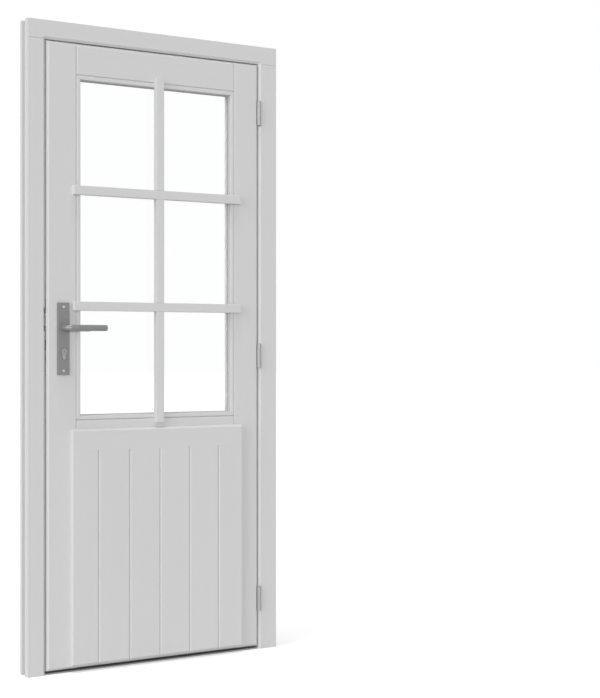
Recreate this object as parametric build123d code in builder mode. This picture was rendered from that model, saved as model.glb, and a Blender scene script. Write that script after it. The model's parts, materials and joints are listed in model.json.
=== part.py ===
from build123d import *
import os

# Half-glazed timber door with one leaf, hung in its own frame and ready to set into a wall.
# Millimetres. X runs from the lock side to the hinge side, Y from the front to the back,
# Z up. The origin is the middle of the frame's underside.

# Frame: two posts and a head, grooved on the outside for the edges of the wall boards
frame_width = 870
frame_height = 1980
frame_depth = 62
post_lock_width = 57
post_hinge_width = 66
head_height = 57
frame_bevel = 7
corner_joint_bevel = 1.5
wall_groove_depth = 20
wall_groove_setback = 25
wall_groove_width = 23
stop_projection = 15
frame_screw_length = 90
frame_screw_spacing = 18

# Threshold: a metal plate with a hollow upstand behind the leaf
sill_thickness = 4
sill_height = 24
sill_setback = 7
sill_wall = 3
sill_screw_spacing = 560
sill_screw_setback = 14
sill_screw_count = 2
sill_screw_length = 40
sill_edge_bevel = 1
sill_nose_bevel = 2
sill_end_screw_length = 50
sill_end_screw_spacing = 26

# Seal on the stop
seal_width = 7
seal_overlap = 1
seal_foot_overlap = 3
seal_thickness = 3.7
seal_bevel = 1.2

# Leaf
leaf_gap = 3
leaf_floor_gap = 11
leaf_thickness = 40
leaf_back_gap = 4
leaf_bevel = 7
stile_lock_width = 97
stile_hinge_width = 90
rail_top_width = 96
rail_mid_width = 129
rail_bottom_width = 120
rail_mid_top = 769
joint_bevel = 2.5
tenon_length = 50
tenon_thickness = 13
tenon_shoulder = 10
tenon_haunch = 20
tenon_foot = 28
tenon_fit = 0.1
tenon_end_gap = 1

# Glazing
rebate_width = 14
rebate_depth = 22
glass_thickness = 4
glass_edge_gap = 2
bead_round = 3
bar_thickness = 18
bar_width = 27
bar_end_lap = 13.5
cross_bar_end_lap = 16
cross_bar_height = 28
bar_edge_bevel = 1
pane_height = 325.5

# Boarded panel planted on the leaf
panel_thickness = 18
panel_lap = 20
panel_drop = 28
panel_lift = 7
panel_rail_height = 66
panel_rail_bevel = 6
panel_foot_bevel = 8
panel_side_bevel = 1.5
board_count = 6
board_pitch = 105
board_bevel = 3.5
tongue_thickness = 6
tongue_length = 7
tongue_fit = 0.2
panel_back_gap = 0.5

# Lock: one axis for the handle and the cylinder, measured from the leaf's edge
backset = 52
handle_height = 1050
cylinder_drop = 72
lock_setback = 14
case_rise = 52
case_height = 170
case_length = 77
case_thickness = 14
case_wall = 1.5
case_fit = 0.5
slide_fit = 0.1
forend_height = 230
forend_drop = 24
forend_width = 24
forend_thickness = 3
forend_screw_inset = 6

# Latch and dead bolt
latch_rise = 25
latch_height = 36
latch_reach = 8
latch_head_length = 24
latch_tail_height = 8
latch_tail_end = 67
latch_tail_thickness = 6
latch_lug_width = 6
latch_lug_bottom = 9
bolt_height = 32
bolt_rise = 19.5
bolt_head_length = 30
bolt_cam_gap = 1.5
bolt_tail_height = 15
bolt_tail_end = 69
bolt_travel = 20
guide_pin_radius = 2.5
guide_pin_offset = 39

# Follower that the handle turns
follower_radius = 9
follower_bearing_radius = 7.95
bearing_fit = 0.05
follower_arm_reach = 13.6
follower_arm_half = 4
follower_side_reach = 24
follower_side_half = 3.5
follower_tip_round = 1.75
spring_offset = 19
spring_coil_radius = 4
spring_wire_radius = 0.6
spring_turns = 8
shelf_gap = 2.5
shelf_thickness = 2

# Handle furniture
plate_width = 38
plate_height = 220
plate_drop = 33
plate_thickness = 8
plate_corner = 2
plate_edge_round = 1
plate_screw_inset = 13
plate_screw_length = 22
lever_radius = 9.5
lever_length = 126.5
lever_offset = 43
lever_tip_round = 1.5
lever_neck_gap = 0.3
lever_boss_radius = 8
lever_boss_length = 6
spindle_size = 8
spindle_fit = 0.05
spindle_bevel = 0.5
spindle_end_gap = 7.5
set_screw_radius = 2.5
set_screw_length = 5
set_screw_offset = 17

# Key cylinder
cylinder_radius = 8.5
cylinder_height = 33
cylinder_leg_width = 10
cylinder_proud = 3
cylinder_cut_gap = 0.3
cam_thickness = 10
cam_reach = 15
cam_hub_radius = 8
cam_nose_width = 8
cam_gap = 0.05
cam_clearance = 0.3
plug_radius = 6.5
keyway_width = 2
keyway_height = 8
keyway_depth = 12
cylinder_screw_radius = 2.5
cylinder_screw_head = 4.5
cylinder_screw_length = 60
cylinder_screw_rise = 4.5

# Keep plate on the lock post
keep_thickness = 2
keep_height = 190
keep_drop = 18
keep_back = 30
keep_corner = 3
keep_screw_inset = 11
latch_notch_height = 70
latch_notch_depth = 6.5
latch_notch_back = 26
bolt_pocket_gap = 2

# Hinges
hinge_top_inset = 160
hinge_bottom_inset = 155
hinge_height = 78
hinge_radius = 7
hinge_offset = 3
hinge_knuckle_end = 16
hinge_knuckle_gap = 0.3
hinge_plate_thickness = 2.5
hinge_plate_let_in = 1.5
hinge_plate_front = 5
hinge_plate_back = 32
hinge_pin_radius = 3
hinge_pin_head_radius = 4.5
hinge_pin_head_height = 2
hinge_screw_length = 28
hinge_screw_spacing = 28
hinge_screw_setback = 14
hinge_screw_stagger = 9

# Fasteners
wood_screw_radius = 2
wood_screw_head = 4
frame_screw_radius = 2.5
frame_screw_head = 5
screw_sink = 0.1
screw_fit = 0.05
screw_end_gap = 0.5
recess_depth = 1.2
recess_width = 0.9
recess_reach = 0.55
cut_over = 5

# Places that follow from the sizes above
front_y = -frame_depth / 2
back_y = frame_depth / 2
left_x = -frame_width / 2
right_x = frame_width / 2
lock_face_x = left_x + post_lock_width
hinge_face_x = right_x - post_hinge_width
head_bottom = frame_height - head_height
groove_front_y = front_y + wall_groove_setback
groove_back_y = groove_front_y + wall_groove_width
groove_middle_y = (groove_front_y + groove_back_y) / 2
sill_front_y = front_y + sill_setback

leaf_left = lock_face_x + leaf_gap
leaf_right = hinge_face_x - leaf_gap
leaf_bottom = leaf_floor_gap
leaf_top = head_bottom - leaf_gap
leaf_back_y = front_y + leaf_thickness
stop_y = leaf_back_y + leaf_back_gap
rebate_y = front_y + rebate_depth
glass_y = rebate_y - glass_thickness
rebate_left = leaf_left + stile_lock_width
rebate_right = leaf_right - stile_hinge_width
opening_left = rebate_left + rebate_width
opening_right = rebate_right - rebate_width
rail_top_bottom = leaf_top - rail_top_width
rail_mid_bottom = rail_mid_top - rail_mid_width
rail_bottom_top = leaf_bottom + rail_bottom_width
opening_top = rail_top_bottom - rebate_width
opening_bottom = rail_mid_top + rebate_width
tenon_back_y = rebate_y
tenon_front_y = tenon_back_y - tenon_thickness

bar_x = (opening_left + opening_right) / 2
bar_front_y = front_y - bar_thickness
bar_half_y = front_y - bar_thickness / 2
upper_bar_top = opening_top - pane_height
upper_bar_bottom = upper_bar_top - cross_bar_height
lower_bar_top = upper_bar_bottom - pane_height
lower_bar_bottom = lower_bar_top - cross_bar_height

panel_left = rebate_left - panel_lap
panel_right = rebate_right + panel_lap
panel_top = rail_mid_top - panel_drop
panel_bottom = leaf_bottom + panel_lift
panel_front_y = front_y - panel_thickness
board_top = panel_top - panel_rail_height
panel_middle_x = (panel_left + panel_right) / 2

axis_x = leaf_left + backset
lock_y = front_y + lock_setback
case_top = handle_height + case_rise
case_bottom = case_top - case_height
cylinder_z = handle_height - cylinder_drop
cylinder_leg_z = cylinder_z + cylinder_radius - cylinder_height + cylinder_leg_width / 2
case_left = leaf_left + forend_thickness
case_right = case_left + case_length
case_front_y = lock_y - case_thickness / 2
case_back_y = lock_y + case_thickness / 2
inner_front_y = case_front_y + case_wall
inner_back_y = case_back_y - case_wall
forend_centre = handle_height - forend_drop
forend_bottom = forend_centre - forend_height / 2
forend_top = forend_centre + forend_height / 2
forend_front_y = lock_y - forend_width / 2
forend_back_y = lock_y + forend_width / 2
latch_centre = handle_height + latch_rise
bolt_centre = cylinder_z + bolt_rise
bolt_tail_bottom = cylinder_z + cam_reach + bolt_cam_gap
bolt_tail_top = bolt_tail_bottom + bolt_tail_height
bolt_tail_middle = (bolt_tail_bottom + bolt_tail_top) / 2
shelf_height = bolt_tail_top + shelf_gap + shelf_thickness
cylinder_screw_z = cylinder_z - cam_reach - cylinder_screw_rise
plate_centre = handle_height - plate_drop
plate_bottom = plate_centre - plate_height / 2
plate_top = plate_centre + plate_height / 2
plate_screw_heights = (plate_bottom + plate_screw_inset, plate_top - plate_screw_inset)
plate_front_y = front_y - plate_thickness
plate_back_y = leaf_back_y + plate_thickness
lever_front_y = front_y - lever_offset
lever_back_y = leaf_back_y + lever_offset
keep_centre = handle_height - keep_drop
keep_bottom = keep_centre - keep_height / 2
keep_top = keep_centre + keep_height / 2
cylinder_front_y = plate_front_y - cylinder_proud
cylinder_back_y = plate_back_y + cylinder_proud

latch_z = (latch_centre - latch_height / 2, latch_centre + latch_height / 2)
latch_y = (inner_front_y + slide_fit, inner_back_y - slide_fit)
latch_opening_y = (inner_front_y, inner_back_y)
bolt_z = (bolt_centre - bolt_height / 2, bolt_centre + bolt_height / 2)
bolt_pocket_x = (leaf_left - bolt_travel - bolt_pocket_gap, lock_face_x + cut_over)
bolt_pocket_y = (latch_y[0] - slide_fit, latch_y[1] + bolt_pocket_gap)
bolt_pocket_z = (bolt_z[0] - bolt_pocket_gap, bolt_z[1] + bolt_pocket_gap)

hinge_x = (leaf_right + hinge_face_x) / 2
hinge_y = front_y - hinge_offset
hinge_top = leaf_top - hinge_top_inset
hinge_bottom = leaf_bottom + hinge_bottom_inset
hinge_middle = (hinge_top + hinge_bottom) / 2
hinge_heights = {"top": hinge_top, "middle": hinge_middle, "bottom": hinge_bottom}

os.makedirs("parts", exist_ok=True)


def save(part, name):
    """Label a finished piece and write it."""
    part.label = name
    export_step(part, f"parts/{name}.step")


def block(x_range, y_range, z_range, mode=Mode.ADD):
    """Add or cut a box given by its two ends along each axis."""
    middle = [(low + high) / 2 for low, high in (x_range, y_range, z_range)]
    size = [high - low for low, high in (x_range, y_range, z_range)]
    with Locations(tuple(middle)):
        Box(*size, mode=mode)


def rod(start, direction, length, radius, mode=Mode.ADD):
    """Add or cut a round bar that starts at a point and runs one way."""
    with Locations(Plane(origin=start, z_dir=direction).location):
        Cylinder(radius, length, align=(Align.CENTER, Align.CENTER, Align.MIN), mode=mode)


def facing(point, direction):
    """Place of a screw whose head lies at the point and faces the direction."""
    return Plane(origin=point, z_dir=direction).location


def countersunk_screw(length, radius, head_radius):
    """A countersunk screw with a cross recess, its head's rim at the origin, facing up."""
    with BuildPart() as screw:
        with BuildSketch(Plane.XZ):
            with BuildLine():
                Polyline(
                    (0, -screw_sink),
                    (head_radius - screw_sink, -screw_sink),
                    (radius, radius - head_radius),
                    (radius, radius - length),
                    (0, -length),
                    close=True,
                )
            make_face()
        revolve(axis=Axis.Z)
        reach = head_radius * recess_reach
        block((-reach, reach), (-recess_width / 2, recess_width / 2),
              (-screw_sink - recess_depth, 0), Mode.SUBTRACT)
        block((-recess_width / 2, recess_width / 2), (-reach, reach),
              (-screw_sink - recess_depth, 0), Mode.SUBTRACT)
    return screw.part


def cut_screw_holes(places, length, radius, head_radius):
    """Cut the countersunk holes that take such screws."""
    with Locations(*places):
        Cylinder(radius + screw_fit, length + screw_end_gap,
                 align=(Align.CENTER, Align.CENTER, Align.MAX), mode=Mode.SUBTRACT)
        Cone(radius + screw_fit, head_radius + screw_fit, head_radius - radius,
             align=(Align.CENTER, Align.CENTER, Align.MAX), mode=Mode.SUBTRACT)


def outline_face(points, plane):
    """A flat face with the given corners on a plane."""
    with BuildSketch(plane) as outline:
        with BuildLine():
            Polyline(*points, close=True)
        make_face()
    return outline.sketch


def front_plane(y):
    """A plane at depth y that faces the front, with X across and Z up."""
    return Plane.XZ.offset(-y)


# Places of the fasteners
frame_screw_places = []
for post_left, post_right in (
    (left_x + wall_groove_depth, lock_face_x),
    (hinge_face_x, right_x - wall_groove_depth),
):
    post_middle = (post_left + post_right) / 2
    for shift in (-frame_screw_spacing / 2, frame_screw_spacing / 2):
        spot = (post_middle + shift, groove_middle_y, frame_height - wall_groove_depth)
        frame_screw_places.append(facing(spot, (0, 0, 1)))

sill_end_places = []
for post_left, post_right in (
    (left_x + wall_groove_depth, lock_face_x),
    (hinge_face_x, right_x - wall_groove_depth),
):
    post_middle = (post_left + post_right) / 2
    for shift in (-sill_end_screw_spacing / 2, sill_end_screw_spacing / 2):
        spot = (post_middle, groove_middle_y + shift, 0)
        sill_end_places.append(facing(spot, (0, 0, -1)))

sill_fixing_places = []
for index in range(sill_screw_count):
    spot_x = (index - (sill_screw_count - 1) / 2) * sill_screw_spacing
    spot = (spot_x, sill_front_y + sill_screw_setback, sill_thickness)
    sill_fixing_places.append(facing(spot, (0, 0, 1)))

keep_face_x = lock_face_x
keep_screw_places = []
for spot_z in (keep_bottom + keep_screw_inset, keep_top - keep_screw_inset):
    spot = (keep_face_x, (front_y + frame_bevel + front_y + keep_back) / 2, spot_z)
    keep_screw_places.append(facing(spot, (1, 0, 0)))

forend_screw_places = []
for spot_z in (forend_bottom + forend_screw_inset, forend_top - forend_screw_inset):
    forend_screw_places.append(facing((leaf_left, lock_y, spot_z), (-1, 0, 0)))

cylinder_screw_place = facing((leaf_left, lock_y, cylinder_screw_z), (-1, 0, 0))

plate_screws_front = [
    facing((axis_x, plate_front_y, spot_z), (0, -1, 0)) for spot_z in plate_screw_heights
]
plate_screws_back = [
    facing((axis_x, plate_back_y, spot_z), (0, 1, 0)) for spot_z in plate_screw_heights
]

door_plate_face_x = leaf_right - hinge_plate_let_in + hinge_plate_thickness
frame_plate_face_x = hinge_face_x + hinge_plate_let_in - hinge_plate_thickness
hinge_screws_door_places = []
hinge_screws_frame_places = []
for hinge_z in hinge_heights.values():
    for step in (-1, 0, 1):
        spot_y = front_y + hinge_screw_setback + hinge_screw_stagger * abs(step)
        spot_z = hinge_z + step * hinge_screw_spacing
        hinge_screws_door_places.append(
            facing((door_plate_face_x, spot_y, spot_z), (1, 0, 0)))
        hinge_screws_frame_places.append(
            facing((frame_plate_face_x, spot_y, spot_z), (-1, 0, 0)))

wood_screw = {"radius": wood_screw_radius, "head_radius": wood_screw_head}
frame_screw = {"radius": frame_screw_radius, "head_radius": frame_screw_head}


def screw_group(name, places, length, kind):
    """Identical screws kept together as one group of separate solids."""
    with BuildPart() as group:
        with Locations(*places):
            add(countersunk_screw(length, **kind))
    save(group.part, name)


def post_outline(outer, inward, width):
    """Section of a post seen from above, with its bevel, stop and wall groove."""
    inner = outer + inward * width
    stop_edge = inner + inward * stop_projection
    groove_floor = outer + inward * wall_groove_depth
    return [
        (outer, front_y),
        (inner - inward * frame_bevel, front_y),
        (inner, front_y + frame_bevel),
        (inner, stop_y),
        (stop_edge, stop_y),
        (stop_edge, back_y),
        (outer, back_y),
        (outer, groove_back_y),
        (groove_floor, groove_back_y),
        (groove_floor, groove_front_y),
        (outer, groove_front_y),
    ]


def post_blank(outer, inward, width):
    """A post up to the head, cut under for the end of the threshold."""
    with BuildPart() as blank:
        extrude(outline_face(post_outline(outer, inward, width), Plane.XY), amount=head_bottom)
        top_edges = blank.faces().sort_by(Axis.Z)[-1].edges()
        chamfer(top_edges.filter_by(Axis.X).sort_by(Axis.Y)[0], corner_joint_bevel)
        ends = sorted((outer + inward * wall_groove_depth,
                       outer + inward * (width + stop_projection)))
        block(ends, (sill_front_y, back_y), (0, sill_thickness), Mode.SUBTRACT)
    return blank.part


def make_frame_post_lock():
    """Lock post with the keep's recess, the latch notch and the dead bolt's pocket."""
    with BuildPart() as frame_post_lock:
        add(post_blank(left_x, 1, post_lock_width))
        block((lock_face_x - keep_thickness, lock_face_x + cut_over),
              (front_y + frame_bevel, front_y + keep_back), (keep_bottom, keep_top),
              Mode.SUBTRACT)
        notch = latch_notch_height / 2
        block((lock_face_x - latch_notch_depth, lock_face_x + cut_over),
              (front_y - cut_over, front_y + latch_notch_back),
              (latch_centre - notch, latch_centre + notch), Mode.SUBTRACT)
        block(bolt_pocket_x, bolt_pocket_y, bolt_pocket_z, Mode.SUBTRACT)
        cut_screw_holes(frame_screw_places, frame_screw_length, **frame_screw)
        cut_screw_holes(sill_end_places, sill_end_screw_length, **frame_screw)
        cut_screw_holes(keep_screw_places, plate_screw_length, **wood_screw)
    save(frame_post_lock.part, "frame_post_lock")


def make_frame_post_hinge():
    """Hinge post with a shallow recess for each hinge plate."""
    with BuildPart() as frame_post_hinge:
        add(post_blank(right_x, -1, post_hinge_width))
        for hinge_z in hinge_heights.values():
            block((hinge_face_x - cut_over, hinge_face_x + hinge_plate_let_in),
                  (front_y + hinge_plate_front - hinge_plate_let_in, front_y + hinge_plate_back),
                  (hinge_z - hinge_height / 2, hinge_z + hinge_height / 2), Mode.SUBTRACT)
        cut_screw_holes(frame_screw_places, frame_screw_length, **frame_screw)
        cut_screw_holes(sill_end_places, sill_end_screw_length, **frame_screw)
        cut_screw_holes(hinge_screws_frame_places, hinge_screw_length, **wood_screw)
    save(frame_post_hinge.part, "frame_post_hinge")


def make_frame_head():
    """Head that lies over both posts, with the bevel of the opening mitred at its ends."""
    with BuildPart() as frame_head:
        block((left_x, right_x), (front_y, back_y), (head_bottom, frame_height))
        stop_ends = (lock_face_x + stop_projection, hinge_face_x - stop_projection)
        block(stop_ends, (stop_y, back_y), (head_bottom - stop_projection, head_bottom))
        block((left_x, right_x), (groove_front_y, groove_back_y),
              (frame_height - wall_groove_depth, frame_height), Mode.SUBTRACT)
        block((left_x, left_x + wall_groove_depth), (groove_front_y, groove_back_y),
              (head_bottom, frame_height), Mode.SUBTRACT)
        block((right_x - wall_groove_depth, right_x), (groove_front_y, groove_back_y),
              (head_bottom, frame_height), Mode.SUBTRACT)
        opening = outline_face(
            [(lock_face_x, head_bottom - head_height), (hinge_face_x, head_bottom - head_height),
             (hinge_face_x, head_bottom), (lock_face_x, head_bottom)],
            front_plane(front_y + frame_bevel))
        extrude(opening, amount=frame_bevel, taper=-45, mode=Mode.SUBTRACT)
        joint_edges = frame_head.edges().filter_by(Axis.X).group_by(Axis.Y)[0]
        joint_edges = joint_edges.filter_by(
            lambda edge: abs(edge.center().Z - head_bottom) < corner_joint_bevel / 2)
        chamfer(joint_edges, corner_joint_bevel)
        cut_screw_holes(frame_screw_places, frame_screw_length, **frame_screw)
    save(frame_head.part, "frame_head")


def make_threshold():
    """Metal threshold: a plate between and under the posts, with a hollow upstand."""
    with BuildPart() as threshold:
        block((left_x + wall_groove_depth, right_x - wall_groove_depth),
              (sill_front_y, back_y), (0, sill_thickness))
        upstand_ends = (lock_face_x + stop_projection, hinge_face_x - stop_projection)
        block(upstand_ends, (stop_y, back_y), (sill_thickness, sill_height))
        chamfer(threshold.faces().sort_by(Axis.Z)[-1].edges().filter_by(Axis.X), sill_edge_bevel)
        block(upstand_ends, (stop_y + sill_wall, back_y - sill_wall),
              (sill_thickness, sill_height - sill_wall), Mode.SUBTRACT)
        nose = threshold.edges().filter_by(Axis.X).group_by(Axis.Y)[0].sort_by(Axis.Z)[-1]
        chamfer(nose, sill_nose_bevel)
        cut_screw_holes(sill_end_places, sill_end_screw_length, **frame_screw)
        cut_screw_holes(sill_fixing_places, sill_screw_length, **frame_screw)
    save(threshold.part, "threshold")


def make_frame_seal():
    """Rubber seal ring on the stop, just clear of the closed leaf."""
    outer_left = leaf_left + seal_overlap
    outer_right = leaf_right - seal_overlap
    outer_top = leaf_top - seal_overlap
    outer_bottom = leaf_bottom + seal_foot_overlap
    with BuildPart() as frame_seal:
        block((outer_left, outer_right), (stop_y - seal_thickness, stop_y),
              (outer_bottom, outer_top))
        block((outer_left + seal_width, outer_right - seal_width),
              (stop_y - seal_thickness, stop_y),
              (outer_bottom + seal_width, outer_top - seal_width), Mode.SUBTRACT)
        chamfer(frame_seal.faces().sort_by(Axis.Y)[0].edges(), seal_bevel)
    save(frame_seal.part, "frame_seal")


def make_keep_plate():
    """Keep let into the lock post, open to the front at the latch, closed round the bolt."""
    with BuildPart() as keep_plate:
        block((lock_face_x - keep_thickness, lock_face_x),
              (front_y + frame_bevel, front_y + keep_back), (keep_bottom, keep_top))
        back_corners = keep_plate.edges().filter_by(Axis.X).group_by(Axis.Y)[-1]
        fillet(back_corners, keep_corner)
        notch = latch_notch_height / 2
        block((lock_face_x - latch_notch_depth, lock_face_x + cut_over),
              (front_y - cut_over, front_y + latch_notch_back),
              (latch_centre - notch, latch_centre + notch), Mode.SUBTRACT)
        block(bolt_pocket_x, bolt_pocket_y, bolt_pocket_z, Mode.SUBTRACT)
        cut_screw_holes(keep_screw_places, plate_screw_length, **wood_screw)
    save(keep_plate.part, "keep_plate")


# Heights of the tenons inside each rail
tenon_heights = [
    (rail_top_bottom + tenon_shoulder, leaf_top - tenon_haunch),
    (rail_mid_bottom + tenon_foot, rail_mid_top - tenon_shoulder),
    (leaf_bottom + tenon_haunch, rail_bottom_top - tenon_foot),
]


def stile_blank(outer, inward, width):
    """A stile with its front bevels, its rebate and the mortises for three rails."""
    inner = outer + inward * width
    lip = inner + inward * rebate_width
    with BuildPart() as blank:
        block(sorted((outer, inner)), (front_y, leaf_back_y), (leaf_bottom, leaf_top))
        edges = blank.faces().sort_by(Axis.Y)[0].edges()
        upright = edges.filter_by(Axis.Z).sort_by(Axis.X)
        if inward < 0:
            upright = upright[::-1]
        chamfer([upright[0], *edges.filter_by(Axis.X)], leaf_bevel)
        inner_edge = blank.edges().filter_by(Axis.Z).group_by(Axis.Y)[0].sort_by(Axis.X)
        chamfer(inner_edge[-1 if inward > 0 else 0], joint_bevel)
        block(sorted((inner, lip)), (rebate_y, leaf_back_y), (leaf_bottom, leaf_top))
        mortise_end = inner - inward * (tenon_length + tenon_end_gap)
        for low, high in tenon_heights:
            block(sorted((inner, mortise_end)),
                  (tenon_front_y - tenon_fit, tenon_back_y + tenon_fit),
                  (low - tenon_fit, high + tenon_fit), Mode.SUBTRACT)
    return blank.part


def cylinder_outline(y, grow=0):
    """Outline of the key cylinder on a plane at depth y: a round head on a narrow leg."""
    with BuildSketch(front_plane(y)) as outline:
        with Locations((axis_x, cylinder_z)):
            Circle(cylinder_radius + grow)
        with Locations((axis_x, cylinder_leg_z)):
            Circle(cylinder_leg_width / 2 + grow)
        with Locations((axis_x, (cylinder_z + cylinder_leg_z) / 2)):
            Rectangle(cylinder_leg_width + 2 * grow, cylinder_z - cylinder_leg_z)
    return outline.sketch


def make_stile_lock():
    """Lock stile with the pocket of the lock case and the holes for spindle and cylinder."""
    with BuildPart() as stile_lock:
        add(stile_blank(leaf_left, 1, stile_lock_width))
        block((leaf_left - cut_over, case_left), (forend_front_y, forend_back_y),
              (forend_bottom, forend_top), Mode.SUBTRACT)
        block((case_left - cut_over, case_right + case_fit),
              (case_front_y - slide_fit, case_back_y + slide_fit),
              (case_bottom - case_fit, case_top + case_fit), Mode.SUBTRACT)
        rod((axis_x, front_y - cut_over, handle_height), (0, 1, 0),
            leaf_thickness + 2 * cut_over, follower_radius, Mode.SUBTRACT)
        extrude(cylinder_outline(front_y - cut_over, case_fit),
                amount=-leaf_thickness - 2 * cut_over, mode=Mode.SUBTRACT)
        cut_screw_holes(forend_screw_places, plate_screw_length, **wood_screw)
        cut_screw_holes(plate_screws_front, plate_screw_length, **wood_screw)
        cut_screw_holes(plate_screws_back, plate_screw_length, **wood_screw)
    save(stile_lock.part, "stile_lock")


def make_stile_hinge():
    """Hinge stile with a shallow recess for each hinge plate."""
    with BuildPart() as stile_hinge:
        add(stile_blank(leaf_right, -1, stile_hinge_width))
        for hinge_z in hinge_heights.values():
            block((leaf_right - hinge_plate_let_in, leaf_right + cut_over),
                  (front_y + hinge_plate_front - hinge_plate_let_in, front_y + hinge_plate_back),
                  (hinge_z - hinge_height / 2, hinge_z + hinge_height / 2), Mode.SUBTRACT)
        cut_screw_holes(hinge_screws_door_places, hinge_screw_length, **wood_screw)
    save(stile_hinge.part, "stile_hinge")


def make_rail(name, front_heights, back_heights, tenon, bevels):
    """A rail: a long front shoulder, a short back shoulder behind the rebates, two tenons."""
    with BuildPart() as rail:
        block((rebate_left, rebate_right), (front_y, rebate_y), front_heights)
        edges = rail.faces().sort_by(Axis.Y)[0].edges()
        chamfer(edges.filter_by(Axis.Z), joint_bevel)
        front_edges = rail.edges().filter_by(Axis.X).group_by(Axis.Y)[0].sort_by(Axis.Z)
        for edge, size in zip((front_edges[0], front_edges[-1]), bevels):
            if size > 0:
                chamfer(edge, size)
        block((opening_left, opening_right), (rebate_y, leaf_back_y), back_heights)
        for side, shoulder in ((-1, rebate_left), (1, rebate_right)):
            block(sorted((shoulder, shoulder + side * tenon_length)),
                  (tenon_front_y, tenon_back_y), tenon)
    save(rail.part, name)


def make_rails():
    """The three rails of the leaf."""
    make_rail("rail_top", (rail_top_bottom, leaf_top), (opening_top, leaf_top),
              tenon_heights[0], (joint_bevel, leaf_bevel))
    make_rail("rail_mid", (rail_mid_bottom + rebate_width, rail_mid_top),
              (rail_mid_bottom, opening_bottom), tenon_heights[1], (0, joint_bevel))
    make_rail("rail_bottom", (leaf_bottom, rail_bottom_top - rebate_width),
              (leaf_bottom, rail_bottom_top), tenon_heights[2], (leaf_bevel, 0))


def bead_ring():
    """The four beads in one ring, before it is parted at the mitres."""
    with BuildPart() as ring:
        block((rebate_left, rebate_right), (front_y, glass_y), (rail_mid_top, rail_top_bottom))
        chamfer(ring.faces().sort_by(Axis.Y)[0].edges(), joint_bevel)
        block((opening_left, opening_right), (front_y, glass_y), (opening_bottom, opening_top),
              Mode.SUBTRACT)
        inner = ring.faces().sort_by(Axis.Y)[0].inner_wires()[0].edges()
        fillet(inner, bead_round)
    return ring.part


def make_beads():
    """Beads that hold the glass, mitred at the corners."""
    outer = {"left": rebate_left, "right": rebate_right,
             "bottom": rail_mid_top, "top": rail_top_bottom}
    inner = {"left": opening_left, "right": opening_right,
             "bottom": opening_bottom, "top": opening_top}
    corners = {
        "left": (("left", "bottom"), ("left", "top")),
        "right": (("right", "bottom"), ("right", "top")),
        "top": (("left", "top"), ("right", "top")),
        "bottom": (("left", "bottom"), ("right", "bottom")),
    }
    ring = bead_ring()
    for side, ((side_a, end_a), (side_b, end_b)) in corners.items():
        points = [
            (outer[side_a], outer[end_a]),
            (outer[side_b], outer[end_b]),
            (inner[side_b], inner[end_b]),
            (inner[side_a], inner[end_a]),
        ]
        with BuildPart() as bead:
            add(ring)
            extrude(outline_face(points, front_plane(glass_y)), amount=glass_y - front_y,
                    mode=Mode.INTERSECT)
        save(bead.part, f"bead_{side}")


def make_glass_pane():
    """One pane behind the beads."""
    with BuildPart() as glass_pane:
        block((rebate_left + glass_edge_gap, rebate_right - glass_edge_gap),
              (glass_y, rebate_y),
              (rail_mid_top + glass_edge_gap, rail_top_bottom - glass_edge_gap))
    save(glass_pane.part, "glass_pane")


def make_bar_vertical():
    """Upright bar, halved at the front where the cross bars pass over it."""
    with BuildPart() as bar_vertical:
        block((bar_x - bar_width / 2, bar_x + bar_width / 2), (bar_front_y, front_y),
              (rail_mid_top - bar_end_lap, rail_top_bottom + bar_end_lap))
        chamfer(bar_vertical.faces().sort_by(Axis.Y)[0].edges(), bar_edge_bevel)
        for low, high in ((lower_bar_bottom, lower_bar_top), (upper_bar_bottom, upper_bar_top)):
            block((bar_x - bar_width, bar_x + bar_width), (bar_front_y, bar_half_y),
                  (low, high), Mode.SUBTRACT)
    save(bar_vertical.part, "bar_vertical")


def make_cross_bar(name, low, high):
    """Cross bar, halved at the back over the upright bar."""
    with BuildPart() as cross_bar:
        block((rebate_left - cross_bar_end_lap, rebate_right + cross_bar_end_lap),
              (bar_front_y, front_y), (low, high))
        chamfer(cross_bar.faces().sort_by(Axis.Y)[0].edges(), bar_edge_bevel)
        block((bar_x - bar_width / 2, bar_x + bar_width / 2), (bar_half_y, front_y),
              (low, high), Mode.SUBTRACT)
    save(cross_bar.part, name)


def make_panel_rail():
    """Capping rail above the boards, with a sloping top edge."""
    with BuildPart() as panel_rail:
        block((panel_left, panel_right), (panel_front_y, front_y), (board_top, panel_top))
        front_edges = panel_rail.faces().sort_by(Axis.Y)[0].edges()
        chamfer(front_edges.filter_by(Axis.X).sort_by(Axis.Z)[-1], panel_rail_bevel)
        sides = panel_rail.faces().sort_by(Axis.Y)[0].edges().filter_by(Axis.Z)
        chamfer(sides, panel_side_bevel)
    save(panel_rail.part, "panel_rail")


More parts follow.
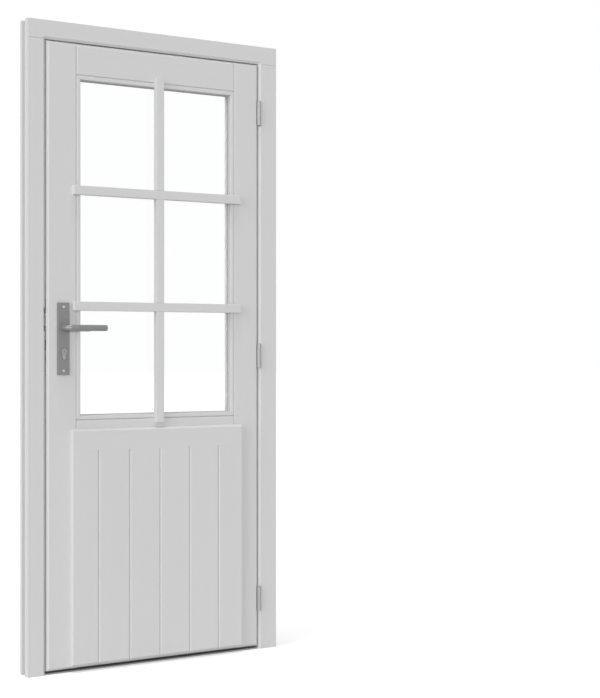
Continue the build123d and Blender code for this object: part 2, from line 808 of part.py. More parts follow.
def make_panel_boards():
    """Upright boards with a tongue on one edge and a groove on the other."""
    tongue_y = (front_y + panel_front_y) / 2
    inner_joints = board_count - 1
    first_joint = panel_middle_x - (inner_joints - 1) / 2 * board_pitch
    joints = [first_joint + index * board_pitch for index in range(inner_joints)]
    sides = [panel_left, *joints, panel_right]
    for index in range(board_count):
        left, right = sides[index], sides[index + 1]
        with BuildPart() as board:
            block((left, right), (panel_front_y, front_y), (panel_bottom, board_top))
            uprights = board.faces().sort_by(Axis.Y)[0].edges().filter_by(Axis.Z)
            uprights = uprights.sort_by(Axis.X)
            chamfer(uprights[0], board_bevel if index > 0 else panel_side_bevel)
            uprights = board.faces().sort_by(Axis.Y)[0].edges().filter_by(Axis.Z)
            last = index == board_count - 1
            chamfer(uprights.sort_by(Axis.X)[-1], panel_side_bevel if last else board_bevel)
            foot = board.faces().sort_by(Axis.Y)[0].edges().filter_by(Axis.X).sort_by(Axis.Z)[0]
            chamfer(foot, panel_foot_bevel)
            if not last:
                block((right, right + tongue_length),
                      (tongue_y - tongue_thickness / 2, tongue_y + tongue_thickness / 2),
                      (panel_bottom + panel_foot_bevel, board_top))
            if index > 0:
                wide = tongue_thickness / 2 + tongue_fit
                block((left, left + tongue_length + tongue_fit),
                      (tongue_y - wide, tongue_y + wide),
                      (panel_bottom, board_top), Mode.SUBTRACT)
        save(board.part, f"panel_board_{index + 1}")


def make_panel_back():
    """Flat panel in the rebates behind the boards."""
    with BuildPart() as panel_back:
        block((rebate_left + panel_back_gap, rebate_right - panel_back_gap),
              (front_y, rebate_y),
              (rail_bottom_top - rebate_width + panel_back_gap,
               rail_mid_bottom + rebate_width - panel_back_gap))
    save(panel_back.part, "panel_back")


def make_lock_case():
    """Pressed case of the lock: back wall, four edges, a guide pin and a spring shelf."""
    with BuildPart() as lock_case:
        block((case_left, case_right), (inner_front_y, case_back_y), (case_bottom, case_top))
        block((case_left + case_wall, case_right - case_wall), (inner_front_y, inner_back_y),
              (case_bottom + case_wall, case_top - case_wall), Mode.SUBTRACT)
        shelf_left = axis_x + spring_offset - spring_coil_radius - 2 * spring_wire_radius
        block((shelf_left, case_right - case_wall), (inner_front_y, inner_back_y),
              (shelf_height - shelf_thickness, shelf_height))
        rod((leaf_left + guide_pin_offset, inner_front_y, bolt_tail_middle), (0, 1, 0),
            inner_back_y - inner_front_y, guide_pin_radius)
        cut_case_openings()
        for low, high in (latch_z, bolt_z):
            block((case_left - cut_over, case_left + case_wall), latch_opening_y,
                  (low - slide_fit, high + slide_fit), Mode.SUBTRACT)
        rod((case_left - cut_over, lock_y, cylinder_screw_z), (1, 0, 0),
            cut_over + case_wall, cylinder_screw_radius + slide_fit, Mode.SUBTRACT)
    save(lock_case.part, "lock_case")


def cut_case_openings():
    """Cut the holes for the follower and the key cylinder through a wall of the case."""
    rod((axis_x, case_front_y - cut_over, handle_height), (0, 1, 0),
        case_thickness + 2 * cut_over, follower_bearing_radius + bearing_fit, Mode.SUBTRACT)
    extrude(cylinder_outline(case_front_y - cut_over, cylinder_cut_gap),
            amount=-case_thickness - 2 * cut_over, mode=Mode.SUBTRACT)


def make_lock_cover():
    """Cover plate that closes the case at the front."""
    with BuildPart() as lock_cover:
        block((case_left, case_right), (case_front_y, inner_front_y), (case_bottom, case_top))
        cut_case_openings()
    save(lock_cover.part, "lock_cover")


def make_lock_forend():
    """Forend let into the leaf's edge, with the mouths of latch and dead bolt."""
    with BuildPart() as lock_forend:
        block((leaf_left, case_left), (forend_front_y, forend_back_y),
              (forend_bottom, forend_top))
        for low, high in (latch_z, bolt_z):
            block((leaf_left, case_left), latch_opening_y,
                  (low - slide_fit, high + slide_fit), Mode.SUBTRACT)
        cut_screw_holes(forend_screw_places, plate_screw_length, **wood_screw)
        cut_screw_holes([cylinder_screw_place], cylinder_screw_length,
                        cylinder_screw_radius, cylinder_screw_head)
    save(lock_forend.part, "lock_forend")


def make_latch_bolt():
    """Latch with a sloping nose, a tail over the follower and a lug for the follower's arm."""
    nose = leaf_left - latch_reach
    head_end = leaf_left + latch_head_length
    with BuildPart() as latch_bolt:
        outline = outline_face(
            [(nose, latch_y[0]), (head_end, latch_y[0]), (head_end, latch_y[1]),
             (leaf_left, latch_y[1]), (nose, latch_y[0] + case_wall)],
            Plane.XY.offset(latch_z[0]))
        extrude(outline, amount=latch_height)
        tail_y = (lock_y - latch_tail_thickness / 2, lock_y + latch_tail_thickness / 2)
        tail_z = (latch_centre - latch_tail_height / 2, latch_centre + latch_tail_height / 2)
        block((head_end, leaf_left + latch_tail_end), tail_y, tail_z)
        lug_left = axis_x + follower_arm_half + cam_clearance
        block((lug_left, lug_left + latch_lug_width), tail_y,
              (handle_height + latch_lug_bottom, tail_z[0]))
    save(latch_bolt.part, "latch_bolt")


def make_dead_bolt():
    """Dead bolt with a slotted tail that slides on the guide pin above the cam."""
    with BuildPart() as dead_bolt:
        block((leaf_left, leaf_left + bolt_head_length), latch_y, bolt_z)
        block((leaf_left + bolt_head_length, leaf_left + bolt_tail_end), latch_y,
              (bolt_tail_bottom, bolt_tail_top))
        pin_x = leaf_left + guide_pin_offset
        half = guide_pin_radius + slide_fit
        block((pin_x - half, pin_x + bolt_travel + half),
              (latch_y[0], latch_y[1]),
              (bolt_tail_middle - half, bolt_tail_middle + half), Mode.SUBTRACT)
    save(dead_bolt.part, "dead_bolt")


def make_lock_follower():
    """Follower with a square hole, an arm up to the latch and an arm onto the spring."""
    with BuildPart() as lock_follower:
        rod((axis_x, latch_y[0], handle_height), (0, 1, 0), latch_y[1] - latch_y[0],
            follower_radius)
        rod((axis_x, case_front_y, handle_height), (0, 1, 0), case_thickness,
            follower_bearing_radius)
        block((axis_x - follower_arm_half, axis_x + follower_arm_half), latch_y,
              (handle_height, handle_height + follower_arm_reach))
        rod((axis_x, latch_y[0], handle_height + follower_arm_reach), (0, 1, 0),
            latch_y[1] - latch_y[0], follower_arm_half)
        block((axis_x, axis_x + follower_side_reach), latch_y,
              (handle_height - follower_side_half, handle_height + follower_side_half))
        tip = lock_follower.edges().filter_by(Axis.Y).group_by(Axis.X)[-1]
        fillet(tip, follower_tip_round)
        half = spindle_size / 2 + spindle_fit
        block((axis_x - half, axis_x + half), (case_front_y, case_back_y),
              (handle_height - half, handle_height + half), Mode.SUBTRACT)
    save(lock_follower.part, "lock_follower")


def make_latch_spring():
    """Spring that stands on the shelf and lifts the follower's side arm."""
    length = handle_height - follower_side_half - shelf_height
    pitch = (length - 2 * spring_wire_radius - 2 * slide_fit) / spring_turns
    base = Vector(axis_x + spring_offset, lock_y,
                  shelf_height + slide_fit + spring_wire_radius)
    with BuildPart() as latch_spring:
        with BuildLine(Plane(origin=base)) as path:
            Helix(pitch, pitch * spring_turns, spring_coil_radius)
        start = path.edges()[0]
        with BuildSketch(Plane(origin=start @ 0, z_dir=start % 0)):
            Circle(spring_wire_radius)
        sweep(path=path.wires()[0], is_frenet=True)
    save(latch_spring.part, "latch_spring")


def make_backplate(name, face_y, outward, places):
    """Long plate with the handle's bearing hole and the cylinder's mouth."""
    low_y, high_y = sorted((face_y, face_y + outward * plate_thickness))
    with BuildPart() as backplate:
        block((axis_x - plate_width / 2, axis_x + plate_width / 2), (low_y, high_y),
              (plate_bottom, plate_top))
        fillet(backplate.edges().filter_by(Axis.Y), plate_corner)
        front = backplate.faces().sort_by(Axis.Y)[0 if outward < 0 else -1]
        fillet(front.edges(), plate_edge_round)
        rod((axis_x, low_y - cut_over, handle_height), (0, 1, 0),
            plate_thickness + 2 * cut_over, lever_boss_radius + bearing_fit, Mode.SUBTRACT)
        extrude(cylinder_outline(low_y - cut_over, cylinder_cut_gap),
                amount=-plate_thickness - 2 * cut_over, mode=Mode.SUBTRACT)
        cut_screw_holes(places, plate_screw_length, **wood_screw)
    save(backplate.part, name)


def make_lever(name, face_y, outward, bar_y):
    """Lever: a round neck out of the plate, an elbow and a straight round bar."""
    neck_start = face_y + outward * lever_neck_gap
    boss_start = face_y - outward * lever_boss_length
    direction = (0, outward, 0)
    with BuildPart() as lever:
        rod((axis_x, neck_start, handle_height), direction, abs(bar_y - neck_start),
            lever_radius)
        with Locations((axis_x, bar_y, handle_height)):
            Sphere(lever_radius)
        rod((axis_x, bar_y, handle_height), (1, 0, 0), lever_length, lever_radius)
        fillet(lever.edges().sort_by(Axis.X)[-1], lever_tip_round)
        rod((axis_x, boss_start, handle_height), direction, lever_boss_length + lever_neck_gap,
            lever_boss_radius)
        half = spindle_size / 2 + spindle_fit
        socket_end = bar_y - outward * (spindle_end_gap - spindle_fit)
        block((axis_x - half, axis_x + half), sorted((boss_start, socket_end)),
              (handle_height - half, handle_height + half), Mode.SUBTRACT)
        rod((axis_x, face_y + outward * set_screw_offset, handle_height), (0, 0, -1),
            lever_radius, set_screw_radius + screw_fit, Mode.SUBTRACT)
    save(lever.part, name)


def make_handle_spindle():
    """Square spindle through the lock from lever to lever."""
    with BuildPart() as handle_spindle:
        half = spindle_size / 2
        block((axis_x - half, axis_x + half),
              (lever_front_y + spindle_end_gap, lever_back_y - spindle_end_gap),
              (handle_height - half, handle_height + half))
        ends = handle_spindle.faces().filter_by(Axis.Y)
        chamfer(ends.edges(), spindle_bevel)
    save(handle_spindle.part, "handle_spindle")


def make_lever_set_screws():
    """Set screws that hold the levers on the spindle, one from below in each neck."""
    top = handle_height - spindle_size / 2 - screw_fit
    with BuildPart() as lever_set_screws:
        for spot_y in (plate_front_y - set_screw_offset, plate_back_y + set_screw_offset):
            rod((axis_x, spot_y, top), (0, 0, -1), set_screw_length, set_screw_radius)
            with Locations((axis_x, spot_y, top - set_screw_length)):
                Box(recess_width, 2 * set_screw_radius, 2 * recess_depth, mode=Mode.SUBTRACT)
    save(lever_set_screws.part, "lever_set_screws")


def make_cylinder_body():
    """Key cylinder body: two halves joined by a web under the cam's slot."""
    slot = (lock_y - cam_thickness / 2 - cam_gap, lock_y + cam_thickness / 2 + cam_gap)
    web_top = cylinder_z - cam_reach - cam_clearance
    with BuildPart() as cylinder_body:
        extrude(cylinder_outline(cylinder_front_y), amount=cylinder_front_y - cylinder_back_y)
        block((axis_x - cam_reach, axis_x + cam_reach), slot,
              (web_top, cylinder_z + cam_reach), Mode.SUBTRACT)
        rod((axis_x, cylinder_front_y, cylinder_z), (0, 1, 0),
            cylinder_back_y - cylinder_front_y, plug_radius + bearing_fit, Mode.SUBTRACT)
        rod((axis_x - cam_reach, lock_y, cylinder_screw_z), (1, 0, 0), 2 * cam_reach,
            cylinder_screw_radius + screw_fit, Mode.SUBTRACT)
    save(cylinder_body.part, "cylinder_body")


def make_cylinder_plug(name, outer_y, inward):
    """Plug of the cylinder with its keyway, up to the cam."""
    cam_face = lock_y - inward * cam_thickness / 2
    with BuildPart() as plug:
        rod((axis_x, outer_y, cylinder_z), (0, inward, 0), abs(cam_face - outer_y), plug_radius)
        block((axis_x - keyway_width / 2, axis_x + keyway_width / 2),
              sorted((outer_y, outer_y + inward * keyway_depth)),
              (cylinder_z - keyway_height / 2, cylinder_z + keyway_height / 2), Mode.SUBTRACT)
    save(plug.part, name)


def make_cylinder_cam():
    """Cam between the plugs, its nose pointing down at rest."""
    with BuildPart() as cylinder_cam:
        rod((axis_x, lock_y - cam_thickness / 2, cylinder_z), (0, 1, 0), cam_thickness,
            cam_hub_radius)
        nose_end = cylinder_z - cam_reach + cam_nose_width / 2
        block((axis_x - cam_nose_width / 2, axis_x + cam_nose_width / 2),
              (lock_y - cam_thickness / 2, lock_y + cam_thickness / 2), (nose_end, cylinder_z))
        rod((axis_x, lock_y - cam_thickness / 2, nose_end), (0, 1, 0), cam_thickness,
            cam_nose_width / 2)
    save(cylinder_cam.part, "cylinder_cam")


def make_cylinder_screw():
    """Long screw through the forend that holds the cylinder."""
    with BuildPart() as cylinder_screw:
        with Locations(cylinder_screw_place):
            add(countersunk_screw(cylinder_screw_length, cylinder_screw_radius,
                                  cylinder_screw_head))
    save(cylinder_screw.part, "cylinder_screw")


def make_hinge_leaf(name, hinge_z, face_x, back_x, knuckles, places):
    """One half of a hinge: a flat plate with its knuckles round the pin."""
    plate_x = sorted((face_x, back_x))
    low = hinge_z - hinge_height / 2
    with BuildPart() as hinge_leaf:
        block(plate_x, (front_y + hinge_plate_front, front_y + hinge_plate_back),
              (low, low + hinge_height))
        for start, end in knuckles:
            block(plate_x, (hinge_y, front_y + hinge_plate_front), (low + start, low + end))
            rod((hinge_x, hinge_y, low + start), (0, 0, 1), end - start, hinge_radius)
        rod((hinge_x, hinge_y, low), (0, 0, 1), hinge_height,
            hinge_pin_radius + bearing_fit, Mode.SUBTRACT)
        cut_screw_holes(places, hinge_screw_length, **wood_screw)
    save(hinge_leaf.part, name)


def make_hinges():
    """Three hinges, each with a frame half and a door half."""
    ends = [(0, hinge_knuckle_end), (hinge_height - hinge_knuckle_end, hinge_height)]
    middle = [(hinge_knuckle_end + hinge_knuckle_gap,
               hinge_height - hinge_knuckle_end - hinge_knuckle_gap)]
    for place, hinge_z in hinge_heights.items():
        make_hinge_leaf(f"hinge_frame_leaf_{place}", hinge_z, frame_plate_face_x,
                        hinge_face_x + hinge_plate_let_in, ends, hinge_screws_frame_places)
        make_hinge_leaf(f"hinge_door_leaf_{place}", hinge_z, door_plate_face_x,
                        leaf_right - hinge_plate_let_in, middle, hinge_screws_door_places)


def make_hinge_pins():
    """Three headed pins."""
    with BuildPart() as hinge_pins:
        for hinge_z in hinge_heights.values():
            low = hinge_z - hinge_height / 2
            rod((hinge_x, hinge_y, low), (0, 0, 1), hinge_height, hinge_pin_radius)
            rod((hinge_x, hinge_y, low + hinge_height), (0, 0, 1), hinge_pin_head_height,
                hinge_pin_head_radius)
    save(hinge_pins.part, "hinge_pins")


make_frame_post_lock()
make_frame_post_hinge()
make_frame_head()
make_threshold()
make_frame_seal()
make_keep_plate()
screw_group("frame_screws", frame_screw_places, frame_screw_length, frame_screw)
screw_group("threshold_screws", sill_end_places, sill_end_screw_length, frame_screw)
screw_group("keep_screws", keep_screw_places, plate_screw_length, wood_screw)

make_stile_lock()
make_stile_hinge()
make_rails()
make_panel_rail()
make_panel_boards()
make_panel_back()
make_glass_pane()
make_beads()
make_bar_vertical()
make_cross_bar("bar_upper", upper_bar_bottom, upper_bar_top)
make_cross_bar("bar_lower", lower_bar_bottom, lower_bar_top)

make_lock_case()
make_lock_cover()
make_lock_forend()
screw_group("forend_screws", forend_screw_places, plate_screw_length, wood_screw)
make_latch_bolt()
make_dead_bolt()
make_lock_follower()
make_latch_spring()
make_backplate("backplate_outer", front_y, -1, plate_screws_front)
make_backplate("backplate_inner", leaf_back_y, 1, plate_screws_back)
screw_group("plate_screws_outer", plate_screws_front, plate_screw_length, wood_screw)
screw_group("plate_screws_inner", plate_screws_back, plate_screw_length, wood_screw)
make_lever("lever_outer", plate_front_y, -1, lever_front_y)
make_lever("lever_inner", plate_back_y, 1, lever_back_y)
make_handle_spindle()
make_lever_set_screws()
make_cylinder_body()
make_cylinder_plug("cylinder_plug_outer", cylinder_front_y, 1)
make_cylinder_plug("cylinder_plug_inner", cylinder_back_y, -1)
make_cylinder_cam()
make_cylinder_screw()

make_hinges()
make_hinge_pins()
screw_group("hinge_screws_frame", hinge_screws_frame_places, hinge_screw_length, wood_screw)
screw_group("hinge_screws_door", hinge_screws_door_places, hinge_screw_length, wood_screw)
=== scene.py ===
import json
import math

import bmesh
import bpy
from bpy.props import FloatProperty, FloatVectorProperty, IntProperty, PointerProperty
from bpy.types import Operator, Panel, PropertyGroup
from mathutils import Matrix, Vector


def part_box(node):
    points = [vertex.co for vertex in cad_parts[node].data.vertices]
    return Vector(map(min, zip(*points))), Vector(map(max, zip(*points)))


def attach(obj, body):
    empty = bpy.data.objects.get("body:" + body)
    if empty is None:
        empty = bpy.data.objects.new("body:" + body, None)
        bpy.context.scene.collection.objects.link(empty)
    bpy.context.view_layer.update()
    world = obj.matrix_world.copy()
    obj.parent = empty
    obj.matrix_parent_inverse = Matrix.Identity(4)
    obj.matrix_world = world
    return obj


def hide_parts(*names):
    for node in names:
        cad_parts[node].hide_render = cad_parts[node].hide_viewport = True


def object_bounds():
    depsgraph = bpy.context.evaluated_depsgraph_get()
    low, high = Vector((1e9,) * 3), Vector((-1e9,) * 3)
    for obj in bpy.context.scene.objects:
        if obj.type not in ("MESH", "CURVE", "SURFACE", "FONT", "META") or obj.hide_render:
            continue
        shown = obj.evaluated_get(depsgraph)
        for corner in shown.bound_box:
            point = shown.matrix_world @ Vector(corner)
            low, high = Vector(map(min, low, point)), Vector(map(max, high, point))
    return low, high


bl_info = {
    "name": "Glazed stable-style door",
    "version": (1, 0, 0),
    "blender": (4, 5, 0),
    "location": "3D View > Sidebar > Door",
    "description": "Finishes a half-glazed timber door in its frame and sets it in a pale studio",
    "category": "Object",
}

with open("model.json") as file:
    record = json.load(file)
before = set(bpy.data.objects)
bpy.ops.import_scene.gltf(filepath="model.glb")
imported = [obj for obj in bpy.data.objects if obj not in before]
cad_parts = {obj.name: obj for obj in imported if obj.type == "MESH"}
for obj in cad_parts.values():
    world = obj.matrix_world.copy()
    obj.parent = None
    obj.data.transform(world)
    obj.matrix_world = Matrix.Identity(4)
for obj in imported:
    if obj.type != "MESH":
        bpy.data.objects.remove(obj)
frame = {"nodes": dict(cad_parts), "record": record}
CAD_LOW, CAD_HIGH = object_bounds()

# How far the marks of a surface are drawn out: a small share makes them long that way
UP = (1.0, 1.0, 0.03)
ACROSS = (0.03, 1.0, 1.0)
EVEN = (1, 1, 1)
FRAME_TIMBER = {
    "frame_post_lock": UP,
    "frame_post_hinge": UP,
    "frame_head": ACROSS,
}
LEAF_TIMBER = {
    "stile_lock": UP,
    "stile_hinge": UP,
    "rail_top": ACROSS,
    "rail_mid": ACROSS,
    "rail_bottom": ACROSS,
    "panel_back": UP,
}
PANEL_TIMBER = {
    "panel_rail": ACROSS,
    "panel_board_1": UP,
    "panel_board_2": UP,
    "panel_board_3": UP,
    "panel_board_4": UP,
    "panel_board_5": UP,
    "panel_board_6": UP,
}
GLAZING_TIMBER = {
    "bead_left": UP,
    "bead_right": UP,
    "bead_top": ACROSS,
    "bead_bottom": ACROSS,
    "bar_vertical": UP,
    "bar_upper": ACROSS,
    "bar_lower": ACROSS,
}
HINGE_NODES = (
    "hinge_frame_leaf_top", "hinge_frame_leaf_middle", "hinge_frame_leaf_bottom",
    "hinge_door_leaf_top", "hinge_door_leaf_middle", "hinge_door_leaf_bottom", "hinge_pins",
)
LOCK_NODES = (
    "lock_forend", "keep_plate", "latch_bolt", "dead_bolt", "lock_case", "lock_cover",
    "lock_follower", "latch_spring", "handle_spindle",
)
SCREW_NODES = (
    "frame_screws", "threshold_screws", "keep_screws", "forend_screws", "plate_screws_outer",
    "plate_screws_inner", "hinge_screws_frame", "hinge_screws_door", "lever_set_screws",
    "cylinder_screw",
)
CYLINDER_NODES = (
    "cylinder_body", "cylinder_plug_outer", "cylinder_plug_inner", "cylinder_cam",
)

# The number that each set of pieces counts from, so that no two pieces show the same marks
FRAME_FIRST = 1
LEAF_FIRST = 11
PANEL_FIRST = 21
GLAZING_FIRST = 31
LEVER_FIRST = 41
PLATE_FIRST = 44
HINGE_FIRST = 51
LOCK_FIRST = 61

# Timber: corners nearer than SAME_PLACE become one, faces flatter than FLAT_ANGLE become one,
# and edges sharper than ARRIS_ANGLE are rounded. A piece's number moves its marks by MARKS_STEP
SAME_PLACE = 1e-6
FLAT_ANGLE = math.radians(0.5)
ARRIS_ANGLE = math.radians(28)
ARRIS_STEPS = 3
MARKS_STEP = (1.37, 2.11, 0.73)
MARKS_START = (0.2, 0.4, 0)
DULL_SPECULAR = 0.3

# Metals: the way of their drawn lines, the spread of tone, the roughness and how metallic they
# look. METAL_RELIEF is the depth of the drawn lines in metres, where a metal has no other
METAL_RELIEF = 0.00001
LEVER_METAL = {"stretch": (0.03, 1, 1), "spread_value": 0.07, "roughness": 0.33,
               "metallic": 0.35}
PLATE_METAL = {"stretch": (1, 1, 0.02), "spread_value": 0.07, "roughness": 0.42,
               "metallic": 0.55}
HINGE_METAL = {"stretch": (1, 1, 0.05), "spread_value": 0.08, "roughness": 0.5,
               "metallic": 0.3}
LOCK_METAL = {"stretch": (1, 1, 0.05), "spread_value": 0.08, "roughness": 0.38}
BOLT_METALLIC = 0.8
FOREND_METALLIC = 0.3
SCREW_METAL = {"stretch": EVEN, "spread_value": 0.12, "roughness": 0.32, "metallic": 1}
CYLINDER_METAL = {"stretch": (1, 0.05, 1), "spread_value": 0.06, "roughness": 0.34,
                  "metallic": 0.6}
THRESHOLD_METAL = {"stretch": (0.02, 1, 1), "spread_value": 0.2, "roughness": 0.45,
                   "metallic": 0.4, "distance": 0.00002}
HINGE_EDGE = 0.0003
HINGE_EDGE_STEPS = 2
HINGE_EDGE_ANGLE = math.radians(30)

# Glass: lower than real glass, so that reflections don't hide the bars behind the pane
GLASS_IOR = 1.3
GLASS_COLOR = (0.985, 0.995, 0.99, 1)

# Lever: rings in metres from the inner end of its boss. BOSS_RINGS give a place and a radius,
# NECK_RINGS a place and how much the radius is less than the bar's, as in the ferrule lines
BOSS_RINGS = ((0, 0.0075), (0.0005, 0.008), (0.0062, 0.008))
NECK_RINGS = ((0.0063, 0.0006), (0.0069, 0), (0.0098, 0), (0.0102, 0.0004),
              (0.0110, 0.0004), (0.0114, 0))
BEND_STEPS = 12
TIP_ROUND = 0.0018
TIP_STEPS = 6
LEVER_SMOOTH = math.radians(40)
SCREW_HOLE_RADIUS = 0.00255
SET_SCREW_RADIUS = 0.0025
SCREW_HOLE_STEPS = 24
SCREW_HOLE_RUN_OUT = 0.02

# Rubber and sealant: their outlines as metres inward from the corner and out from the face
SEAL_OUTLINE = (
    (0.0000, 0.0000), (0.0000, 0.0007), (0.0009, 0.0010), (0.0004, 0.0016), (0.0005, 0.0024),
    (0.0011, 0.0031), (0.0021, 0.0036), (0.0033, 0.0037), (0.0045, 0.0035), (0.0054, 0.0029),
    (0.0058, 0.0022), (0.0057, 0.0015), (0.0061, 0.0010), (0.0070, 0.0007), (0.0070, 0.0000),
)
SEALANT_OUTLINE = (
    (0.0000, 0.0000), (0.0000, 0.0022), (0.0006, 0.0014), (0.0014, 0.0006), (0.0024, 0.0000),
)
SEAL_SMOOTH = math.radians(50)

# Studio: each lamp with the width of its light in degrees and the way it shines
LAMPS = (
    ("key", 40, (0.92, 0.22, -0.32)),
    ("fill", 6, (0.42, 0.905, -0.07)),
    ("top", 25, (0.08, 0.12, -0.99)),
    ("back", 20, (-0.35, -0.93, -0.05)),
)
FLOOR_RADIUS = 60
FLOOR_STEPS = 96
FLOOR_DROP = 0.0002
FLOOR_ROUGHNESS = 0.9
SENSOR_WIDTH = 36


class PaintSettings(PropertyGroup):
    """Paint on the timber."""

    color: FloatVectorProperty(
        name="Paint colour", description="Colour of the satin paint on frame and leaf",
        subtype="COLOR", size=3, min=0, max=1, default=(0.60, 0.60, 0.60))
    roughness: FloatProperty(
        name="Roughness", description="How matt the paint is", min=0, max=1, default=0.6)
    brush_depth: FloatProperty(
        name="Brush depth", description="Depth of the brush marks and of the grain under the paint",
        subtype="DISTANCE", unit="LENGTH", min=0, max=0.001, default=0.00012)
    tone_spread: FloatProperty(
        name="Tone spread", description="How far the paint varies from light to dark",
        min=0, max=0.3, default=0.035)
    arris: FloatProperty(
        name="Arris", description="Width of the softened edges on the frame",
        subtype="DISTANCE", unit="LENGTH", min=0, max=0.003, default=0.0007)
    board_arris: FloatProperty(
        name="Board arris", description="Width of the softened edges on the boards of the panel",
        subtype="DISTANCE", unit="LENGTH", min=0, max=0.003, default=0.0003)
    bead_arris: FloatProperty(
        name="Bead arris", description="Width of the softened edges on the beads and the bars",
        subtype="DISTANCE", unit="LENGTH", min=0, max=0.003, default=0.0012)
    leaf_arris: FloatProperty(
        name="Leaf arris", description="Width of the softened edges on the stiles and the rails",
        subtype="DISTANCE", unit="LENGTH", min=0, max=0.003, default=0.0022)


class FittingSettings(PropertyGroup):
    """Metal, glass and rubber."""

    handle_color: FloatVectorProperty(
        name="Handle colour", description="Colour of the levers and their plates",
        subtype="COLOR", size=3, min=0, max=1, default=(0.22, 0.22, 0.22))
    hinge_color: FloatVectorProperty(
        name="Hinge colour", description="Colour of the hinges and their pins",
        subtype="COLOR", size=3, min=0, max=1, default=(0.34, 0.34, 0.34))
    steel_color: FloatVectorProperty(
        name="Steel colour", description="Colour of the keep, the lock and the screws",
        subtype="COLOR", size=3, min=0, max=1, default=(0.50, 0.50, 0.50))
    forend_color: FloatVectorProperty(
        name="Forend colour", description="Colour of the bright lock forend",
        subtype="COLOR", size=3, min=0, max=1, default=(0.78, 0.78, 0.78))
    # Dark grey of the latch and the dead bolt: partly the steel's own colour, partly painted shade
    # so the openings in the pale forend read as dark
    bolt_and_shade_color: FloatVectorProperty(
        name="Bolt colour", description="Colour of the latch and the dead bolt",
        subtype="COLOR", size=3, min=0, max=1, default=(0.20, 0.20, 0.20))
    cylinder_color: FloatVectorProperty(
        name="Cylinder colour", description="Colour of the key cylinder",
        subtype="COLOR", size=3, min=0, max=1, default=(0.33, 0.33, 0.33))
    threshold_color: FloatVectorProperty(
        name="Threshold colour", description="Colour of the grey metal threshold",
        subtype="COLOR", size=3, min=0, max=1, default=(0.38, 0.38, 0.38))
    seal_color: FloatVectorProperty(
        name="Seal colour", description="Colour of the rubber seal",
        subtype="COLOR", size=3, min=0, max=1, default=(0.02, 0.02, 0.02))
    sealant_color: FloatVectorProperty(
        name="Sealant colour", description="Colour of the sealant round the glass",
        subtype="COLOR", size=3, min=0, max=1, default=(0.42, 0.42, 0.42))
    lever_bend: FloatProperty(
        name="Lever bend", description="Radius of the lever's bend, along the middle of its bar",
        subtype="DISTANCE", unit="LENGTH", min=0.0096, max=0.02, default=0.0115)
    round_steps: IntProperty(
        name="Round steps", description="Steps round the lever's bar", min=12, max=96,
        default=48)


class StageSettings(PropertyGroup):
    """Camera, floor and light."""

    camera_place: FloatVectorProperty(
        name="Camera place", description="Where the camera stands", subtype="TRANSLATION",
        unit="LENGTH", size=3, default=(-2.0903, -4.1929, 0.9860))
    camera_turn: FloatProperty(
        name="Camera turn", description="How far the camera looks to the right of straight ahead",
        subtype="ANGLE", unit="ROTATION", default=math.radians(32.18))
    lens: FloatProperty(
        name="Lens", description="Focal length in millimetres on a 36 mm sensor",
        min=10, max=300, default=75.785)
    key_strength: FloatProperty(
        name="Key strength", description="Strength of the soft light from the left",
        min=0, max=20, default=1.5)
    fill_strength: FloatProperty(
        name="Fill strength", description="Strength of the soft light from beside the camera",
        min=0, max=20, default=1.17)
    top_strength: FloatProperty(
        name="Top strength", description="Strength of the soft light from above",
        min=0, max=20, default=1.45)
    back_strength: FloatProperty(
        name="Back strength", description="Strength of the soft light from behind the door",
        min=0, max=20, default=1.3)
    world_strength: FloatProperty(
        name="Sky strength", description="Strength of the even light from all round",
        min=0, max=5, default=0.36)
    floor_color: FloatVectorProperty(
        name="Floor colour", description="Colour of the pale floor under the lamps",
        subtype="COLOR", size=3, min=0, max=1, default=(0.60, 0.60, 0.60))
    floor_lift: FloatProperty(
        name="Floor lift", description="What the floor adds where the camera sees it",
        min=0, max=1, default=0.47)


def new_object(name, data):
    """An object linked into the scene."""
    piece = bpy.data.objects.new(name, data)
    bpy.context.scene.collection.objects.link(piece)
    return piece


def new_mesh(work, name):
    """A mesh from the work, which is then let go."""
    mesh = bpy.data.meshes.new(name)
    work.to_mesh(mesh)
    work.free()
    return mesh


def new_material(name):
    """A material with its node tree and its main shader."""
    material = bpy.data.materials.new(name)
    material.use_nodes = True
    return material, material.node_tree, material.node_tree.nodes["Principled BSDF"]


def new_node(tree, kind, **settings):
    """A node of one kind with its plain settings."""
    node = tree.nodes.new(kind)
    for name, value in settings.items():
        setattr(node, name, value)
    return node


def group_with_sockets(name, inputs, outputs):
    """An empty shader node group with named sockets, and its two end nodes."""
    tree = bpy.data.node_groups.new(name, "ShaderNodeTree")
    for label, kind, default in inputs:
        socket = tree.interface.new_socket(label, in_out="INPUT", socket_type=kind)
        socket.default_value = default
    for label, kind in outputs:
        tree.interface.new_socket(label, in_out="OUTPUT", socket_type=kind)
    start = tree.nodes.new("NodeGroupInput")
    end = tree.nodes.new("NodeGroupOutput")
    return tree, start, end


def stretched_place(tree, start):
    """Object coordinates, stretched along the piece and shifted by its own amount."""
    place = new_node(tree, "ShaderNodeTexCoord")
    stretch = new_node(tree, "ShaderNodeVectorMath", operation="MULTIPLY")
    shift = new_node(tree, "ShaderNodeVectorMath", operation="ADD")
    tree.links.new(place.outputs["Object"], stretch.inputs[0])
    tree.links.new(start.outputs["Stretch"], stretch.inputs[1])
    tree.links.new(stretch.outputs["Vector"], shift.inputs[0])
    tree.links.new(start.outputs["Shift"], shift.inputs[1])
    return shift.outputs["Vector"]


def noise(tree, vector, scale, detail, roughness=0.5):
    """A noise texture read at a place."""
    texture = new_node(tree, "ShaderNodeTexNoise")
    texture.inputs["Scale"].default_value = scale
    texture.inputs["Detail"].default_value = detail
    texture.inputs["Roughness"].default_value = roughness
    tree.links.new(vector, texture.inputs["Vector"])
    return texture.outputs["Fac"]


